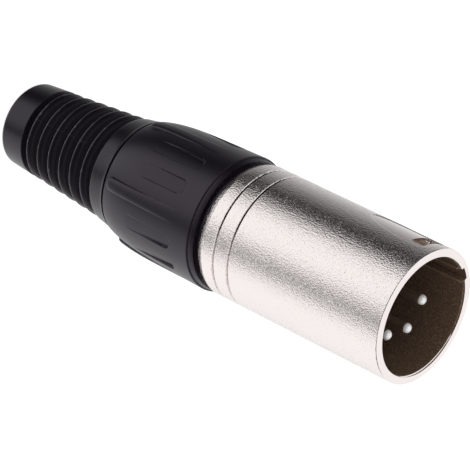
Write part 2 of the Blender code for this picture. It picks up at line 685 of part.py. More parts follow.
def boot_outline():
    points = [(BOOT_BORE_R, 0.0)]
    points += arc(boot_radius(BOOT_FILLET) - BOOT_FILLET, BOOT_FILLET, BOOT_FILLET, -90, 0)
    points.append((boot_radius(CUFF_LENGTH), CUFF_LENGTH))
    groove = CUFF_LENGTH
    ring_pitch = RING_WIDTH + RING_GAP
    ring_count = int((BOOT_LENGTH - CUFF_LENGTH - RING_GAP - BAND_LENGTH) / ring_pitch)
    for _ in range(ring_count):
        rear = groove + RING_GAP
        front = rear + RING_WIDTH
        points += groove_floor(groove, rear)
        points += [
            (boot_radius(rear) - RING_REAR_DROP, rear),
            (boot_radius(rear), rear + RING_CROWN),
            (boot_radius(front) - RING_FRONT_DROP, front),
        ]
        groove = front
    band = groove + RING_GAP
    points += groove_floor(groove, band)
    middle = (band + BOOT_LENGTH) / 2
    points += [(boot_radius(band), band), (boot_radius(middle), middle),
               (boot_radius(BOOT_LENGTH), BOOT_LENGTH)]

    # Socket that grips the nut's spigot and its bead
    socket_r = SPIGOT_R + CLEAR
    socket_floor = SPIGOT_REAR_Z - CLEAR
    points += [
        (socket_r, BOOT_LENGTH),
        (socket_r, BEAD_FRONT_Z + CLEAR),
        (BEAD_R + CLEAR, BEAD_FRONT_Z + CLEAR),
        (BEAD_R + CLEAR, BEAD_FRONT_Z - BEAD_LENGTH / 2),
        (socket_r, BEAD_FRONT_Z - BEAD_LENGTH - CLEAR),
        (socket_r, socket_floor),
        (BOOT_BORE_R, socket_floor),
    ]
    return points


def build_boot(rubber):
    return finish("boot", turned_mesh("boot", boot_outline(), BOOT_STEPS), rubber)


clear_scene()
satin_nickel = material("satin_nickel", (0.62, 0.60, 0.58), 0.36, 1.0)
carrier_plastic = material("carrier_plastic", (0.03, 0.028, 0.027), 0.5)
contact_silver = material("contact_silver", (0.78, 0.77, 0.75), 0.22, 1.0)
spring_bronze = material("spring_bronze", (0.62, 0.46, 0.25), 0.35, 1.0)
clamp_plastic = material("clamp_plastic", (0.55, 0.54, 0.52), 0.55)
nut_plastic = material("nut_plastic", (0.045, 0.043, 0.046), 0.45)
boot_rubber = material("boot_rubber", (0.04, 0.039, 0.042), 0.6)

# The carrier, its contacts and the spring move with the shell, and the boot with the nut
shell_piece = build_shell(satin_nickel)
for fixed in (build_insert(carrier_plastic), build_earth_spring(spring_bronze),
              *build_contacts(contact_silver)):
    fixed.parent = shell_piece
build_clamp(clamp_plastic)
nut_piece = build_back_nut(nut_plastic)
build_boot(boot_rubber).parent = nut_piece
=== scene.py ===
"""Looks of a male cable plug of the XLR pattern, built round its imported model.

The plug stands on the end of its boot, with its axis on Z and the mating rim on top. Lengths are
in metres. Angles are in degrees from +X towards +Y, seen from the rim; the latch panel faces +Y.
"""

import math

import bmesh
import bpy
import numpy as np
from mathutils import Matrix, Vector


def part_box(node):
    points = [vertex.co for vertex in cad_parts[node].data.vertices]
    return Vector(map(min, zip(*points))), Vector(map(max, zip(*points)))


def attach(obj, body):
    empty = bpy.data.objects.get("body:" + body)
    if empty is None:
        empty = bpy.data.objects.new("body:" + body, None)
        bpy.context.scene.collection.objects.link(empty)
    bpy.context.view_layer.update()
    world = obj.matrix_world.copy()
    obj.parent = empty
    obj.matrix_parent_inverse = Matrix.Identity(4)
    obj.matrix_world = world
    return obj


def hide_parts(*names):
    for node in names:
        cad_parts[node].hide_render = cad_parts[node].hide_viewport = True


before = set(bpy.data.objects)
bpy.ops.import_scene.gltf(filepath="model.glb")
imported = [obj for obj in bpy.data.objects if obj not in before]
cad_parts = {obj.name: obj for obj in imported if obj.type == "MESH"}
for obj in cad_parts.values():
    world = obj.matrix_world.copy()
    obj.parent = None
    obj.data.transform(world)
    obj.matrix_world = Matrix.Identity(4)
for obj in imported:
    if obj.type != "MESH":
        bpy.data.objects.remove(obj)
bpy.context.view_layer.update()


# Shell: the mating sleeve and its threaded neck, cast in zinc as one piece, grained and plated
# with satin nickel. The latch panel with its window is sunk a little in the outside and the keyway
# runs down the inside; the neck screws into the back nut.
MM = 0.001
RUNNING_GAP = 0.3 * MM
RIM_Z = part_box("shell")[1][2]
NECK_REAR_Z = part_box("shell")[0][2]
SLEEVE_REAR_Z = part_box("back_nut")[1][2] + RUNNING_GAP
CAVITY_FLOOR_Z = RIM_Z - 15.5 * MM
SLEEVE_R = 9.5 * MM
SLEEVE_DRAFT = 0.08 * MM
CAVITY_R = 8.25 * MM
RIM_FILLET = 0.15 * MM
MOUTH_CHAMFER = 0.12 * MM
MOUTH_CHAMFER_ENDS = (1.6 * MOUTH_CHAMFER, MOUTH_CHAMFER / 3)
MOUTH_STEP = (0.15 * MM, 0.13 * MM)
MOUTH_STEP_LIP = 0.8 * MOUTH_CHAMFER
MOUTH_STEP_ANGLES = (302.0, 10.0, 50.0)
SLEEVE_REAR_BEVEL = (0.38 * MM, 0.9 * MM)
SLEEVE_REAR_EDGE = 0.1 * MM
SHADING_STRIP = 0.06 * MM
LEDGE_R = 6.6 * MM
LEDGE_THICKNESS = 0.6 * MM
BORE_R = 7.4 * MM

GROOVE_PLACES = (5.5 * MM, 2.9 * MM)
GROOVE_SIDE = ((0.21, 0.0), (0.17, 0.04), (0.13, 0.14), (0.08, 0.24))

PANEL_ANGLE = 90.0
PANEL_HALF_WIDTH = 3.0 * MM
PANEL_FRONT_Z = RIM_Z - 1.4 * MM
PANEL_WIDEST_Z = RIM_Z - 3.6 * MM
PANEL_REAR_Z = RIM_Z - 12.1 * MM
PANEL_CORNER_R = 1.3 * MM
PANEL_DEPTH = 0.15 * MM
PANEL_REAR_SHARE = 0.5
PANEL_EDGE = (0.17 * MM, -0.05 * MM)
PANEL_REAR_RUN = 4 * MM
PANEL_STEPS = (0.08 * MM, 0.2 * MM, 0.07 * MM)
WINDOW_HALF_WIDTH = 2.2 * MM
WINDOW_FRONT_Z = PANEL_FRONT_Z - 0.6 * MM
WINDOW_REAR_Z = WINDOW_FRONT_Z - 2.1 * MM
WINDOW_CORNER_R = 0.4 * MM

KEYWAY_ANGLE = 43.0
KEYWAY_HALF_WIDTH = 1.0 * MM
KEYWAY_DEPTH = 0.55 * MM
KEYWAY_REAR_Z = RIM_Z - 11.0 * MM
KEYWAY_EDGE = 0.1 * MM
KEY_RAIL_HEIGHT = 0.24 * MM
KEY_RAIL_WIDTH = 0.5 * MM
KEY_RAIL_FADE = (3 * MOUTH_CHAMFER, 5 * MOUTH_CHAMFER)
CAVITY_STEP = 1.0 * MM

GUIDE_ANGLE = 270.0
GUIDE_HALF_WIDTH = 0.8 * MM
GUIDE_HEIGHT = 0.7 * MM
GUIDE_EDGE = 0.08 * MM
GUIDE_REAR_Z = NECK_REAR_Z + 1.2 * MM

THREAD_PITCH = 1.25 * MM
THREAD_ROOT_R = 8.02 * MM
THREAD_CREST_R = 8.55 * MM
THREAD_RELIEF = 1.2 * MM
THREAD_LEAD_IN = 0.5 * MM
THREAD_FLANK = 0.75
THREAD_STEP = 0.1 * MM

# Degrees between the points round the shell, and zones of (middle, half width, step)
SHELL_TURN_STEP = 2.5
SHELL_FINE_ZONES = ((KEYWAY_ANGLE, 14.0, 0.5), (PANEL_ANGLE, 19.5, 0.3), (GUIDE_ANGLE, 8.0, 0.8))

NICKEL = (0.95, 0.88, 0.86)
NICKEL_GRAIN = 0.21 * MM
NICKEL_GRAIN_HEIGHT = 0.07 * MM
NICKEL_CLOUD = 6 * MM
NICKEL_ROUGHNESS = (0.07, 0.15)
PANEL_GRAIN_SHARE = 0.3
PANEL_SMOOTH_DEPTH = 0.05 * MM

# Painted shade on the cavity's wall: dark brown with lighter gold speckle, and a painted highlight on
# the crests of the keyway's rails
CAVITY_SHADE_BROWN = (0.13, 0.082, 0.058)
CAVITY_SHADE_GOLD = (0.52, 0.37, 0.23)
CASTING_GRAIN = 0.11 * MM
CASTING_CLOUD = 1 * MM
CASTING_PATCH = (0.52, 0.74)
CAVITY_SHADE_METALLIC = 0.45
CAVITY_SHADE_ROUGHER = 0.2
CAVITY_SHADE_FADE_IN = 0.05 * MM
WALL_MARGIN = 0.1 * MM
STEEP_WALL = (0.85, 0.7)
RAIL_PAINTED_HIGHLIGHT = 0.3
RAIL_CREST_R = (CAVITY_R - 0.1 * MM, CAVITY_R - 0.2 * MM)
IN_WINDOW = (CAVITY_R + 0.05 * MM, 0.9 * CAVITY_R)
WINDOW_SPECKLE = (0.46, 0.58)
WINDOW_SHADE_SHARE = 0.65

# Painted shade in the floors of the two grooves, heaviest on one side of the shell
GROOVE_PAINTED_SHADE = (0.05, 0.04, 0.033)
GROOVE_SHADE_DEPTH = 0.17 * MM
GROOVE_SHADE_FADE = 0.05 * MM
GROOVE_SHADE_RAGGED = 0.3 * MM
GROOVE_SHADE_SIDE = (115.0, 0.30, 0.65)
GROOVE_SHADE_LEAST = 0.15
GROOVE_ZONE = 2 * MM


def arc(centre_r, centre_z, radius, start, end, count):
    """Points of an arc in the (radius, height) plane, angles from outward to up."""
    turns = np.radians(np.linspace(start, end, count))
    return [(centre_r + radius * math.cos(t), centre_z + radius * math.sin(t)) for t in turns]


def heights(start, end, step):
    """Even heights from start to end, both included, at about the given step."""
    return np.linspace(start, end, max(2, round(abs(end - start) / step) + 1))


def heights_through(stations, steps):
    """Heights from the first station to the last, with a step of its own for each stretch."""
    levels = []
    for start, end, step in zip(stations, stations[1:], steps):
        levels += [*heights(start, end, step)][:-1]
    return [*levels, stations[-1]]


def ease(low, high, value):
    """0 at low, 1 at high, with a smooth run between."""
    share = np.clip((value - low) / (high - low), 0.0, 1.0)
    return share * share * (3.0 - 2.0 * share)


def distance_round(angle, middle):
    """Angle from a feature's middle, the short way round."""
    return (angle - middle + 180.0) % 360.0 - 180.0


def angles_round(step, *fine_zones):
    """Angles of one turn at an even step, closer in each zone of (middle, half width, step)."""
    even = np.arange(0.0, 360.0, step)
    kept = [even]
    for middle, half_width, fine_step in fine_zones:
        kept[0] = kept[0][abs(kept[0] - middle) > half_width + step / 2]
        kept.append(np.arange(middle - half_width, middle + half_width + fine_step / 2, fine_step))
    return np.sort(np.concatenate(kept))


def link_object(name, data):
    made = bpy.data.objects.new(name, data)
    bpy.context.scene.collection.objects.link(made)
    return made


def link_mesh(name, vertices, faces):
    mesh = bpy.data.meshes.new(name)
    mesh.from_pydata(vertices, [], faces)
    return link_object(name, mesh)


def turned(name, stretches, angles):
    """A closed skin round Z. A stretch is its (radius, height) points, outside going down, and
    None or a relief, which gives the radius from arrays of radius, height and angle. Points on
    the axis become one, where a solid piece starts and ends."""
    turn = np.radians(angles)
    rings = []
    for points, relief in stretches:
        radius = np.repeat([[point[0]] for point in points], len(turn), axis=1)
        height = np.repeat([[point[1]] for point in points], len(turn), axis=1)
        if relief is not None:
            radius = relief(radius, height, angles)
        rings.append(np.stack((radius * np.cos(turn), radius * np.sin(turn), height), axis=-1))
    grid = np.concatenate(rings)
    index = np.arange(grid.shape[0] * grid.shape[1]).reshape(grid.shape[:2])
    below = np.roll(index, -1, axis=0)
    solid = stretches[0][0][0][0] == 0
    if solid:
        index[0], index[-1] = index[0, 0], index[-1, 0]
        index, below = index[:-1], index[1:]
    corners = (index, below, np.roll(below, -1, axis=1), np.roll(index, -1, axis=1))
    faces = [list(dict.fromkeys(face)) for face in np.stack(corners, axis=-1).reshape(-1, 4).tolist()]
    piece = link_mesh(name, grid.reshape(-1, 3).tolist(), faces)
    if solid:
        bm = bmesh.new()
        bm.from_mesh(piece.data)
        loose = [vertex for vertex in bm.verts if not vertex.link_faces]
        bmesh.ops.delete(bm, geom=loose, context="VERTS")
        bm.to_mesh(piece.data)
        bm.free()
    return piece


def shade(piece, crease):
    """Smooth shading with edges sharper than the crease angle kept."""
    piece.data.shade_smooth()
    piece.data.set_sharp_from_angle(angle=math.radians(crease))


def prism(name, outline, low, high):
    """A closed bar of an (x, y) outline between two heights."""
    bm = bmesh.new()
    base = bm.faces.new([bm.verts.new((x, y, low)) for x, y in outline])
    grown = bmesh.ops.extrude_face_region(bm, geom=[base])
    moved = [item for item in grown["geom"] if isinstance(item, bmesh.types.BMVert)]
    bmesh.ops.translate(bm, verts=moved, vec=(0, 0, high - low))
    bmesh.ops.recalc_face_normals(bm, faces=bm.faces)
    mesh = bpy.data.meshes.new(name)
    bm.to_mesh(mesh)
    bm.free()
    return link_object(name, mesh)


def cut(piece, form):
    """Takes the form out of the piece, and the form out of the scene."""
    change = piece.modifiers.new("cut", "BOOLEAN")
    change.operation = "DIFFERENCE"
    change.solver = "EXACT"
    change.object = form
    bpy.context.view_layer.update()
    shaped = piece.evaluated_get(bpy.context.evaluated_depsgraph_get())
    mesh = bpy.data.meshes.new_from_object(shaped)
    piece.modifiers.clear()
    piece.data = mesh
    bpy.data.objects.remove(form, do_unlink=True)


def sleeve_radius(height):
    return SLEEVE_R + SLEEVE_DRAFT * (RIM_Z - height) / (RIM_Z - SLEEVE_REAR_Z)


def panel_relief(radius, height, angle):
    """The latch panel, sunk in the round wall and drawn out like half an ellipse to its rear."""
    across = SLEEVE_R * np.abs(np.radians(angle - PANEL_ANGLE))
    side = across - (PANEL_HALF_WIDTH - PANEL_CORNER_R)
    front = height - (PANEL_FRONT_Z - PANEL_CORNER_R)
    outside = (np.hypot(np.maximum(side, 0), np.maximum(front, 0))
               + np.minimum(np.maximum(side, front), 0) - PANEL_CORNER_R)
    length = PANEL_WIDEST_Z - PANEL_REAR_Z
    least = 0.01
    wide, long = across / PANEL_HALF_WIDTH, (PANEL_WIDEST_Z - height) / length
    reach = np.maximum(np.hypot(wide, long), least)
    slope = np.maximum(np.hypot(wide / PANEL_HALF_WIDTH, long / length), least / length)
    outside = np.where(long > 0, (reach - 1) * reach / slope, outside)
    depth = PANEL_DEPTH * (1 - (1 - PANEL_REAR_SHARE) * np.clip(long, 0, 1))
    floor = np.minimum(SLEEVE_R - depth - radius, 0)
    return radius + floor * ease(*PANEL_EDGE, outside)


def thread_relief(radius, height, angle):
    """A right-hand thread with rounded crests, fading in at the neck's end."""
    turn = (height - NECK_REAR_Z) / THREAD_PITCH - angle / 360.0
    crest = np.clip(0.5 + THREAD_FLANK * np.cos(2 * math.pi * turn), 0, 1)
    fade = ease(NECK_REAR_Z, NECK_REAR_Z + THREAD_LEAD_IN, height)
    fade = fade * ease(SLEEVE_REAR_Z - THREAD_RELIEF, SLEEVE_REAR_Z - 2 * THREAD_RELIEF, height)
    return radius + (THREAD_CREST_R - THREAD_ROOT_R) * crest * fade


def guide_relief(radius, height, angle):
    """The guide rib in the rear bore, which keys the contact carrier and the clamp."""
    across = np.abs(radius * np.radians(angle - GUIDE_ANGLE))
    share = ease(GUIDE_HALF_WIDTH + GUIDE_EDGE, GUIDE_HALF_WIDTH - GUIDE_EDGE, across)
    return radius - GUIDE_HEIGHT * share * ease(GUIDE_REAR_Z, GUIDE_REAR_Z + GUIDE_EDGE, height)


def keyway_relief(radius, height, angle):
    """The keyway down the cavity's wall, with a low rail along each side."""
    across = np.abs(CAVITY_R * np.radians(angle - KEYWAY_ANGLE))
    along = ease(KEYWAY_REAR_Z, KEYWAY_REAR_Z + KEYWAY_EDGE, height)
    inside = ease(KEYWAY_HALF_WIDTH + KEYWAY_EDGE, KEYWAY_HALF_WIDTH - KEYWAY_EDGE, across)
    from_rail = np.abs(across - KEYWAY_HALF_WIDTH - KEYWAY_EDGE - KEY_RAIL_WIDTH / 2)
    rail = ease(KEY_RAIL_WIDTH / 2, KEY_RAIL_WIDTH / 4, from_rail)
    below_rim = ease(*KEY_RAIL_FADE, RIM_Z - height)
    sunk = np.maximum(CAVITY_R + KEYWAY_DEPTH - radius, 0)
    return radius + along * (inside * sunk - KEY_RAIL_HEIGHT * rail * below_rim)


def mouth_relief(radius, height, angle):
    """The mouth's edge, with a thin step left where the two halves of the die met unevenly."""
    middle, full, none = MOUTH_STEP_ANGLES
    plain = ease(full, none, np.abs(distance_round(angle, middle)))
    from_ledge = radius - CAVITY_R - MOUTH_CHAMFER
    rounding = 0.01 * MM
    step = np.where(from_ledge > rounding, MOUTH_STEP[0] * plain, 0)
    step = np.where(np.abs(from_ledge) < rounding, MOUTH_STEP_LIP * (1 - plain), step)
    return keyway_relief(radius - step, height, angle)


def sleeve_grooves():
    """Two turned grooves round the sleeve's rear, with softened edges."""
    points = []
    for place in GROOVE_PLACES:
        side = [(GROOVE_SIDE[0][0] * MM + SHADING_STRIP, 0.0)]
        side += [(offset * MM, depth * MM) for offset, depth in GROOVE_SIDE]
        side += [(-offset, depth) for offset, depth in reversed(side)]
        for offset, depth in side:
            height = SLEEVE_REAR_Z + place + offset
            points.append((sleeve_radius(height) - depth, height))
    return points


def build_shell():
    margin = 2 * PANEL_EDGE[0]
    stations = (PANEL_FRONT_Z + margin, PANEL_WIDEST_Z, PANEL_REAR_Z + PANEL_REAR_RUN,
                PANEL_REAR_Z - margin)
    wall = [RIM_Z - RIM_FILLET - SHADING_STRIP, *heights_through(stations, PANEL_STEPS)]
    wall = [(sleeve_radius(h), h) for h in wall]
    bevel_r, bevel_z = SLEEVE_REAR_BEVEL
    rear_r = sleeve_radius(SLEEVE_REAR_Z)
    lean = -math.degrees(math.atan2(bevel_r, bevel_z))
    rear_edge = [(rear_r, SLEEVE_REAR_Z + bevel_z + 2 * SLEEVE_REAR_EDGE)]
    rear_edge += arc(rear_r - SLEEVE_REAR_EDGE, SLEEVE_REAR_Z + bevel_z, SLEEVE_REAR_EDGE,
                     0, lean, 4)
    rear_edge += arc(rear_r - bevel_r, SLEEVE_REAR_Z + SLEEVE_REAR_EDGE, SLEEVE_REAR_EDGE,
                     lean, -90, 4)
    thread = [(THREAD_ROOT_R, h)
              for h in heights(SLEEVE_REAR_Z - THREAD_RELIEF, NECK_REAR_Z, THREAD_STEP)]
    ledge_rear = CAVITY_FLOOR_Z - LEDGE_THICKNESS
    cavity = [(LEDGE_R, CAVITY_FLOOR_Z), (CAVITY_R, CAVITY_FLOOR_Z), (CAVITY_R, KEYWAY_REAR_Z)]
    cavity += [(CAVITY_R, h) for h in heights(KEYWAY_REAR_Z + KEYWAY_EDGE,
                                              RIM_Z - KEY_RAIL_FADE[1], CAVITY_STEP)]
    step_out, step_down = MOUTH_STEP
    ledge_r, ledge_z = CAVITY_R + MOUTH_CHAMFER, RIM_Z - step_down
    mouth = [(CAVITY_R, ledge_z - MOUTH_CHAMFER_ENDS[0]), (ledge_r, ledge_z - MOUTH_CHAMFER_ENDS[1]),
             (ledge_r + step_out, ledge_z), (ledge_r + step_out, RIM_Z)]
    stretches = [
        (arc(SLEEVE_R - RIM_FILLET, RIM_Z - RIM_FILLET, RIM_FILLET, 90, 0, 7), None),
        (wall, panel_relief),
        (sleeve_grooves(), None),
        (rear_edge, None),
        ([(THREAD_ROOT_R, SLEEVE_REAR_Z)], None),
        (thread, thread_relief),
        ([(THREAD_ROOT_R - RUNNING_GAP, NECK_REAR_Z), (BORE_R, NECK_REAR_Z)], None),
        ([(BORE_R, GUIDE_REAR_Z), (BORE_R, GUIDE_REAR_Z + GUIDE_EDGE), (BORE_R, ledge_rear)],
         guide_relief),
        ([(LEDGE_R, ledge_rear)], None),
        (cavity, keyway_relief),
        (mouth, mouth_relief),
    ]
    shell = turned("nickel_shell", stretches, angles_round(SHELL_TURN_STEP, *SHELL_FINE_ZONES))
    window = []
    for sign_x, sign_z, start in ((1, 1, 0), (-1, 1, 90), (-1, -1, 180), (1, -1, 270)):
        middle_z = (WINDOW_FRONT_Z + WINDOW_REAR_Z) / 2
        half_z = (WINDOW_FRONT_Z - WINDOW_REAR_Z) / 2 - WINDOW_CORNER_R
        window += arc(sign_x * (WINDOW_HALF_WIDTH - WINDOW_CORNER_R), middle_z + sign_z * half_z,
                      WINDOW_CORNER_R, start, start + 90, 7)
    form = prism("window_form", window, CAVITY_R / 2, SLEEVE_R + RIM_FILLET)
    laid_along_y = Matrix(((1, 0, 0, 0), (0, 0, 1, 0), (0, 1, 0, 0), (0, 0, 0, 1)))
    form.data.transform(laid_along_y)
    form.data.flip_normals()
    cut(shell, form)
    shade(shell, crease=35)
    return shell


def feed(tree, node, **values):
    """Feeds a node's sockets from other sockets, or sets them to values. An underscore in a
    socket's name stands for a space."""
    for key, value in values.items():
        socket = node.inputs[key.replace("_", " ")]
        if isinstance(value, bpy.types.NodeSocket):
            tree.links.new(value, socket)
        else:
            socket.default_value = value


def add_node(tree, kind, settings=None, **values):
    """A node with its settings, and with its sockets fed."""
    made = tree.nodes.new(kind)
    for key, value in (settings or {}).items():
        setattr(made, key, value)
    feed(tree, made, **values)
    return made


def calculate(tree, operation, first, second=0.0, third=0.0):
    made = tree.nodes.new("ShaderNodeMath")
    made.operation = operation
    for socket, value in zip(made.inputs, (first, second, third)):
        if isinstance(value, bpy.types.NodeSocket):
            tree.links.new(value, socket)
        else:
            socket.default_value = value
    return made.outputs[0]


def product(tree, first, *others):
    for other in others:
        first = calculate(tree, "MULTIPLY", first, other)
    return first


def between(tree, share, none, full):
    """A value that goes from none to full with the share."""
    return calculate(tree, "MULTIPLY_ADD", share, full - none, none)


def ramp_between(tree, value, low, high):
    """A smooth mask that goes from 0 at low to 1 at high."""
    return add_node(tree, "ShaderNodeMapRange", {"interpolation_type": "SMOOTHSTEP"}, Value=value,
                    From_Min=low, From_Max=high).outputs["Result"]


def place_on_piece(tree):
    """X, Y and Z on the piece itself, by name."""
    return add_node(tree, "ShaderNodeSeparateXYZ",
                    Vector=tree.nodes.new("ShaderNodeTexCoord").outputs["Object"]).outputs


def distance_from_axis(tree, place):
    squares = [calculate(tree, "POWER", place[axis], 2.0) for axis in ("X", "Y")]
    return calculate(tree, "SQRT", calculate(tree, "ADD", *squares))


def mix_colour(tree, share, first, second):
    """Colour between first and second by the share of the second."""
    made = tree.nodes.new("ShaderNodeMix")
    made.data_type = "RGBA"
    for name, value in (("Factor_Float", share), ("A_Color", first), ("B_Color", second)):
        socket = next(s for s in made.inputs if s.identifier == name)
        if isinstance(value, bpy.types.NodeSocket):
            tree.links.new(value, socket)
        else:
            socket.default_value = (*value, 1.0) if name != "Factor_Float" else value
    return next(s for s in made.outputs if s.identifier == "Result_Color")


def new_finish(name, **values):
    """A material with its Principled shader's own sockets set."""
    finish = bpy.data.materials.new(name)
    finish.use_nodes = True
    shader = finish.node_tree.nodes["Principled BSDF"]
    feed(finish.node_tree, shader, **values)
    return finish, finish.node_tree, shader


def add_bump(tree, shader, height, distance, strength=1.0):
    """Bump from a height, which stands for the distance where it is 1."""
    bump = add_node(tree, "ShaderNodeBump", Height=height, Distance=distance, Strength=strength)
    feed(tree, shader, Normal=bump.outputs["Normal"])


# Grain shared by every finish: a fine height for the bump and a wide cloud for uneven tone
grain_group = bpy.data.node_groups.new("surface_grain", "ShaderNodeTree")
grain_group.interface.new_socket("Grain Size", in_out="INPUT", socket_type="NodeSocketFloat")
grain_group.interface.new_socket("Cloud Size", in_out="INPUT", socket_type="NodeSocketFloat")
grain_group.interface.new_socket("Height", in_out="OUTPUT", socket_type="NodeSocketFloat")
grain_group.interface.new_socket("Cloud", in_out="OUTPUT", socket_type="NodeSocketFloat")


def fill_grain_group(tree):
    sizes = tree.nodes.new("NodeGroupInput")
    result = tree.nodes.new("NodeGroupOutput")
    place = tree.nodes.new("ShaderNodeTexCoord").outputs["Object"]
    fine = add_node(tree, "ShaderNodeTexNoise", Vector=place, Detail=2.0, Roughness=0.5,
                    Scale=calculate(tree, "DIVIDE", 1.0, sizes.outputs["Grain Size"]))
    wide = add_node(tree, "ShaderNodeTexNoise", Vector=place, Detail=3.0, Roughness=0.55,
                    Scale=calculate(tree, "DIVIDE", 1.0, sizes.outputs["Cloud Size"]))
    tree.links.new(fine.outputs["Fac"], result.inputs["Height"])
    tree.links.new(wide.outputs["Fac"], result.inputs["Cloud"])


fill_grain_group(grain_group)


def grain(tree, size, cloud):
    """The grain group placed in a finish, with its sizes."""
    placed = tree.nodes.new("ShaderNodeGroup")
    placed.node_tree = grain_group
    placed.inputs["Grain Size"].default_value = size
    placed.inputs["Cloud Size"].default_value = cloud
    return placed


def cavity_painted_shade(tree, place, radius, grained):
    """A mask of painted shade on the cavity's steep wall, and its colour: dark brown painted shade
    with lighter gold speckle in patches, a painted highlight on the crests of the keyway's rails,
    and gold speckle that lightens the shade in the window."""
    below_mouth = ramp_between(tree, place["Z"], RIM_Z, RIM_Z - CAVITY_SHADE_FADE_IN)
    above_neck = ramp_between(tree, place["Z"], CAVITY_FLOOR_Z - LEDGE_THICKNESS, CAVITY_FLOOR_Z)
    wall_r = CAVITY_R + KEYWAY_DEPTH
    inside = ramp_between(tree, radius, wall_r + WALL_MARGIN, wall_r)
    facing = add_node(tree, "ShaderNodeSeparateXYZ",
                      Vector=tree.nodes.new("ShaderNodeNewGeometry").outputs["True Normal"])
    steep = ramp_between(tree, facing.outputs["Z"], *STEEP_WALL)
    dull = product(tree, inside, above_neck, below_mouth, steep)
    speckle = grain(tree, CASTING_GRAIN, CASTING_CLOUD).outputs["Height"]
    patch = ramp_between(tree, speckle, *CASTING_PATCH)
    rail = product(tree, ramp_between(tree, radius, *RAIL_CREST_R), RAIL_PAINTED_HIGHLIGHT)
    least_radius, least_y = IN_WINDOW
    in_window = product(tree, calculate(tree, "GREATER_THAN", radius, least_radius),
                        calculate(tree, "GREATER_THAN", place["Y"], least_y))
    window_speckle = product(tree, in_window,
                     ramp_between(tree, grained.outputs["Height"], *WINDOW_SPECKLE))
    bright = calculate(tree, "MAXIMUM", calculate(tree, "MAXIMUM", patch, rail), window_speckle)
    mask = product(tree, dull, between(tree, window_speckle, 1.0, WINDOW_SHADE_SHARE))
    return mask, mix_colour(tree, bright, CAVITY_SHADE_BROWN, CAVITY_SHADE_GOLD)


def groove_painted_shade(tree, place, radius, grained):
    """A mask of painted shade in the floors of the two grooves, heaviest on one side."""
    zone = calculate(tree, "COMPARE", place["Z"], SLEEVE_REAR_Z + sum(GROOVE_PLACES) / 2,
                     GROOVE_ZONE)
    ragged = calculate(tree, "MULTIPLY_ADD", grained.outputs["Height"], GROOVE_SHADE_RAGGED,
                       SLEEVE_R - GROOVE_SHADE_DEPTH)
    sunk = ramp_between(tree, calculate(tree, "SUBTRACT", radius, ragged), 0, -GROOVE_SHADE_FADE)
    outside = calculate(tree, "GREATER_THAN", radius, CAVITY_R + KEYWAY_DEPTH)
    side, least, most = GROOVE_SHADE_SIDE
    across = calculate(tree, "MULTIPLY", place["Y"], math.sin(math.radians(side)))
    towards = calculate(tree, "MULTIPLY_ADD", place["X"], math.cos(math.radians(side)), across)
    shaded_side = ramp_between(tree, towards, least * SLEEVE_R, most * SLEEVE_R)
    return product(tree, zone, sunk, outside, between(tree, shaded_side, GROOVE_SHADE_LEAST, 1.0))


def nickel_finish():
    """Satin nickel on the grained cast zinc, with painted shade on the cavity's wall and in the
    floors of the two grooves. The latch panel came out of the die smoother.
    """
    finish, tree, shader = new_finish("satin_nickel")
    grained = grain(tree, NICKEL_GRAIN, NICKEL_CLOUD)
    place = place_on_piece(tree)
    radius = distance_from_axis(tree, place)
    # Painted shade on the cavity's wall, where the nickel turns dark brown, less metallic and rougher
    dull, cavity_shade_colour = cavity_painted_shade(tree, place, radius, grained)
    # Painted shade in the floors of the two grooves
    nickel_and_groove_shade = mix_colour(tree, groove_painted_shade(tree, place, radius, grained), NICKEL, GROOVE_PAINTED_SHADE)
    uneven = between(tree, grained.outputs["Cloud"], *NICKEL_ROUGHNESS)
    feed(tree, shader, Base_Color=mix_colour(tree, dull, nickel_and_groove_shade, cavity_shade_colour),
         Metallic=between(tree, dull, 1.0, CAVITY_SHADE_METALLIC),
         Roughness=calculate(tree, "MULTIPLY_ADD", dull, CAVITY_SHADE_ROUGHER, uneven))
    sunk = ramp_between(tree, radius, SLEEVE_R, SLEEVE_R - PANEL_SMOOTH_DEPTH)
    by_panel = calculate(tree, "GREATER_THAN", place["Z"], PANEL_REAR_Z)
    smooth = product(tree, sunk, by_panel, calculate(tree, "SUBTRACT", 1.0, dull))
    add_bump(tree, shader, grained.outputs["Height"], NICKEL_GRAIN_HEIGHT,
             between(tree, smooth, 1.0, PANEL_GRAIN_SHARE))
    return finish


shell = build_shell()
shell.data.materials.append(nickel_finish())
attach(shell, "shell_body")
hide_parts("shell")


# Contact carrier: a plug of black moulded plastic pushed into the shell's bore from the rear as
# far as the ledge, keyed by the guide rib. Five stepped holes hold the contacts.
INSERT_REAR_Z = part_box("contact_insert")[0][2]
BOSS_TOP_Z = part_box("contact_insert")[1][2]
INSERT_SHOULDER_Z = CAVITY_FLOOR_Z - LEDGE_THICKNESS - RUNNING_GAP
INSERT_R = BORE_R - RUNNING_GAP
BOSS_R = LEDGE_R - RUNNING_GAP
INSERT_FILLET = 0.3 * MM
PIN_R = 0.7 * MM
COLLAR_R = 1.1 * MM
CARRIER_TURN_STEP = 3.0
HOLE_TURN_STEP = 10.0
HOLE_STEP_Z = INSERT_REAR_Z + 2.8 * MM
HOLE_COUNTERSINK = 0.2 * MM
CONTACT_NAMES = [f"contact_pin_{number}" for number in range(1, 6)]
SPRING_HALF_WIDTH = 1.2 * MM
SPRING_ANGLE = 90.0
POCKET_FLOOR_R = INSERT_R - 0.95 * MM

CARRIER_BLACK = (0.010, 0.009, 0.009)
CARRIER_ROUGHNESS = 0.5
CARRIER_GRAIN = (0.12 * MM, 0.006 * MM)
MOULDED_CLOUD = 5 * MM


def node_axis(name):
    """Where the upright axis of a round node stands."""
    low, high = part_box(name)
    return Vector(((low[0] + high[0]) / 2, (low[1] + high[1]) / 2, 0.0))


def upright_bar(name, angle, half_width, inner, outer, low, high):
    """A square bar along Z that lies between two radii at an angle."""
    corners = [(inner, -half_width), (outer, -half_width), (outer, half_width),
               (inner, half_width)]
    form = prism(name, corners, low, high)
    form.data.transform(Matrix.Rotation(math.radians(angle), 4, "Z"))
    return form


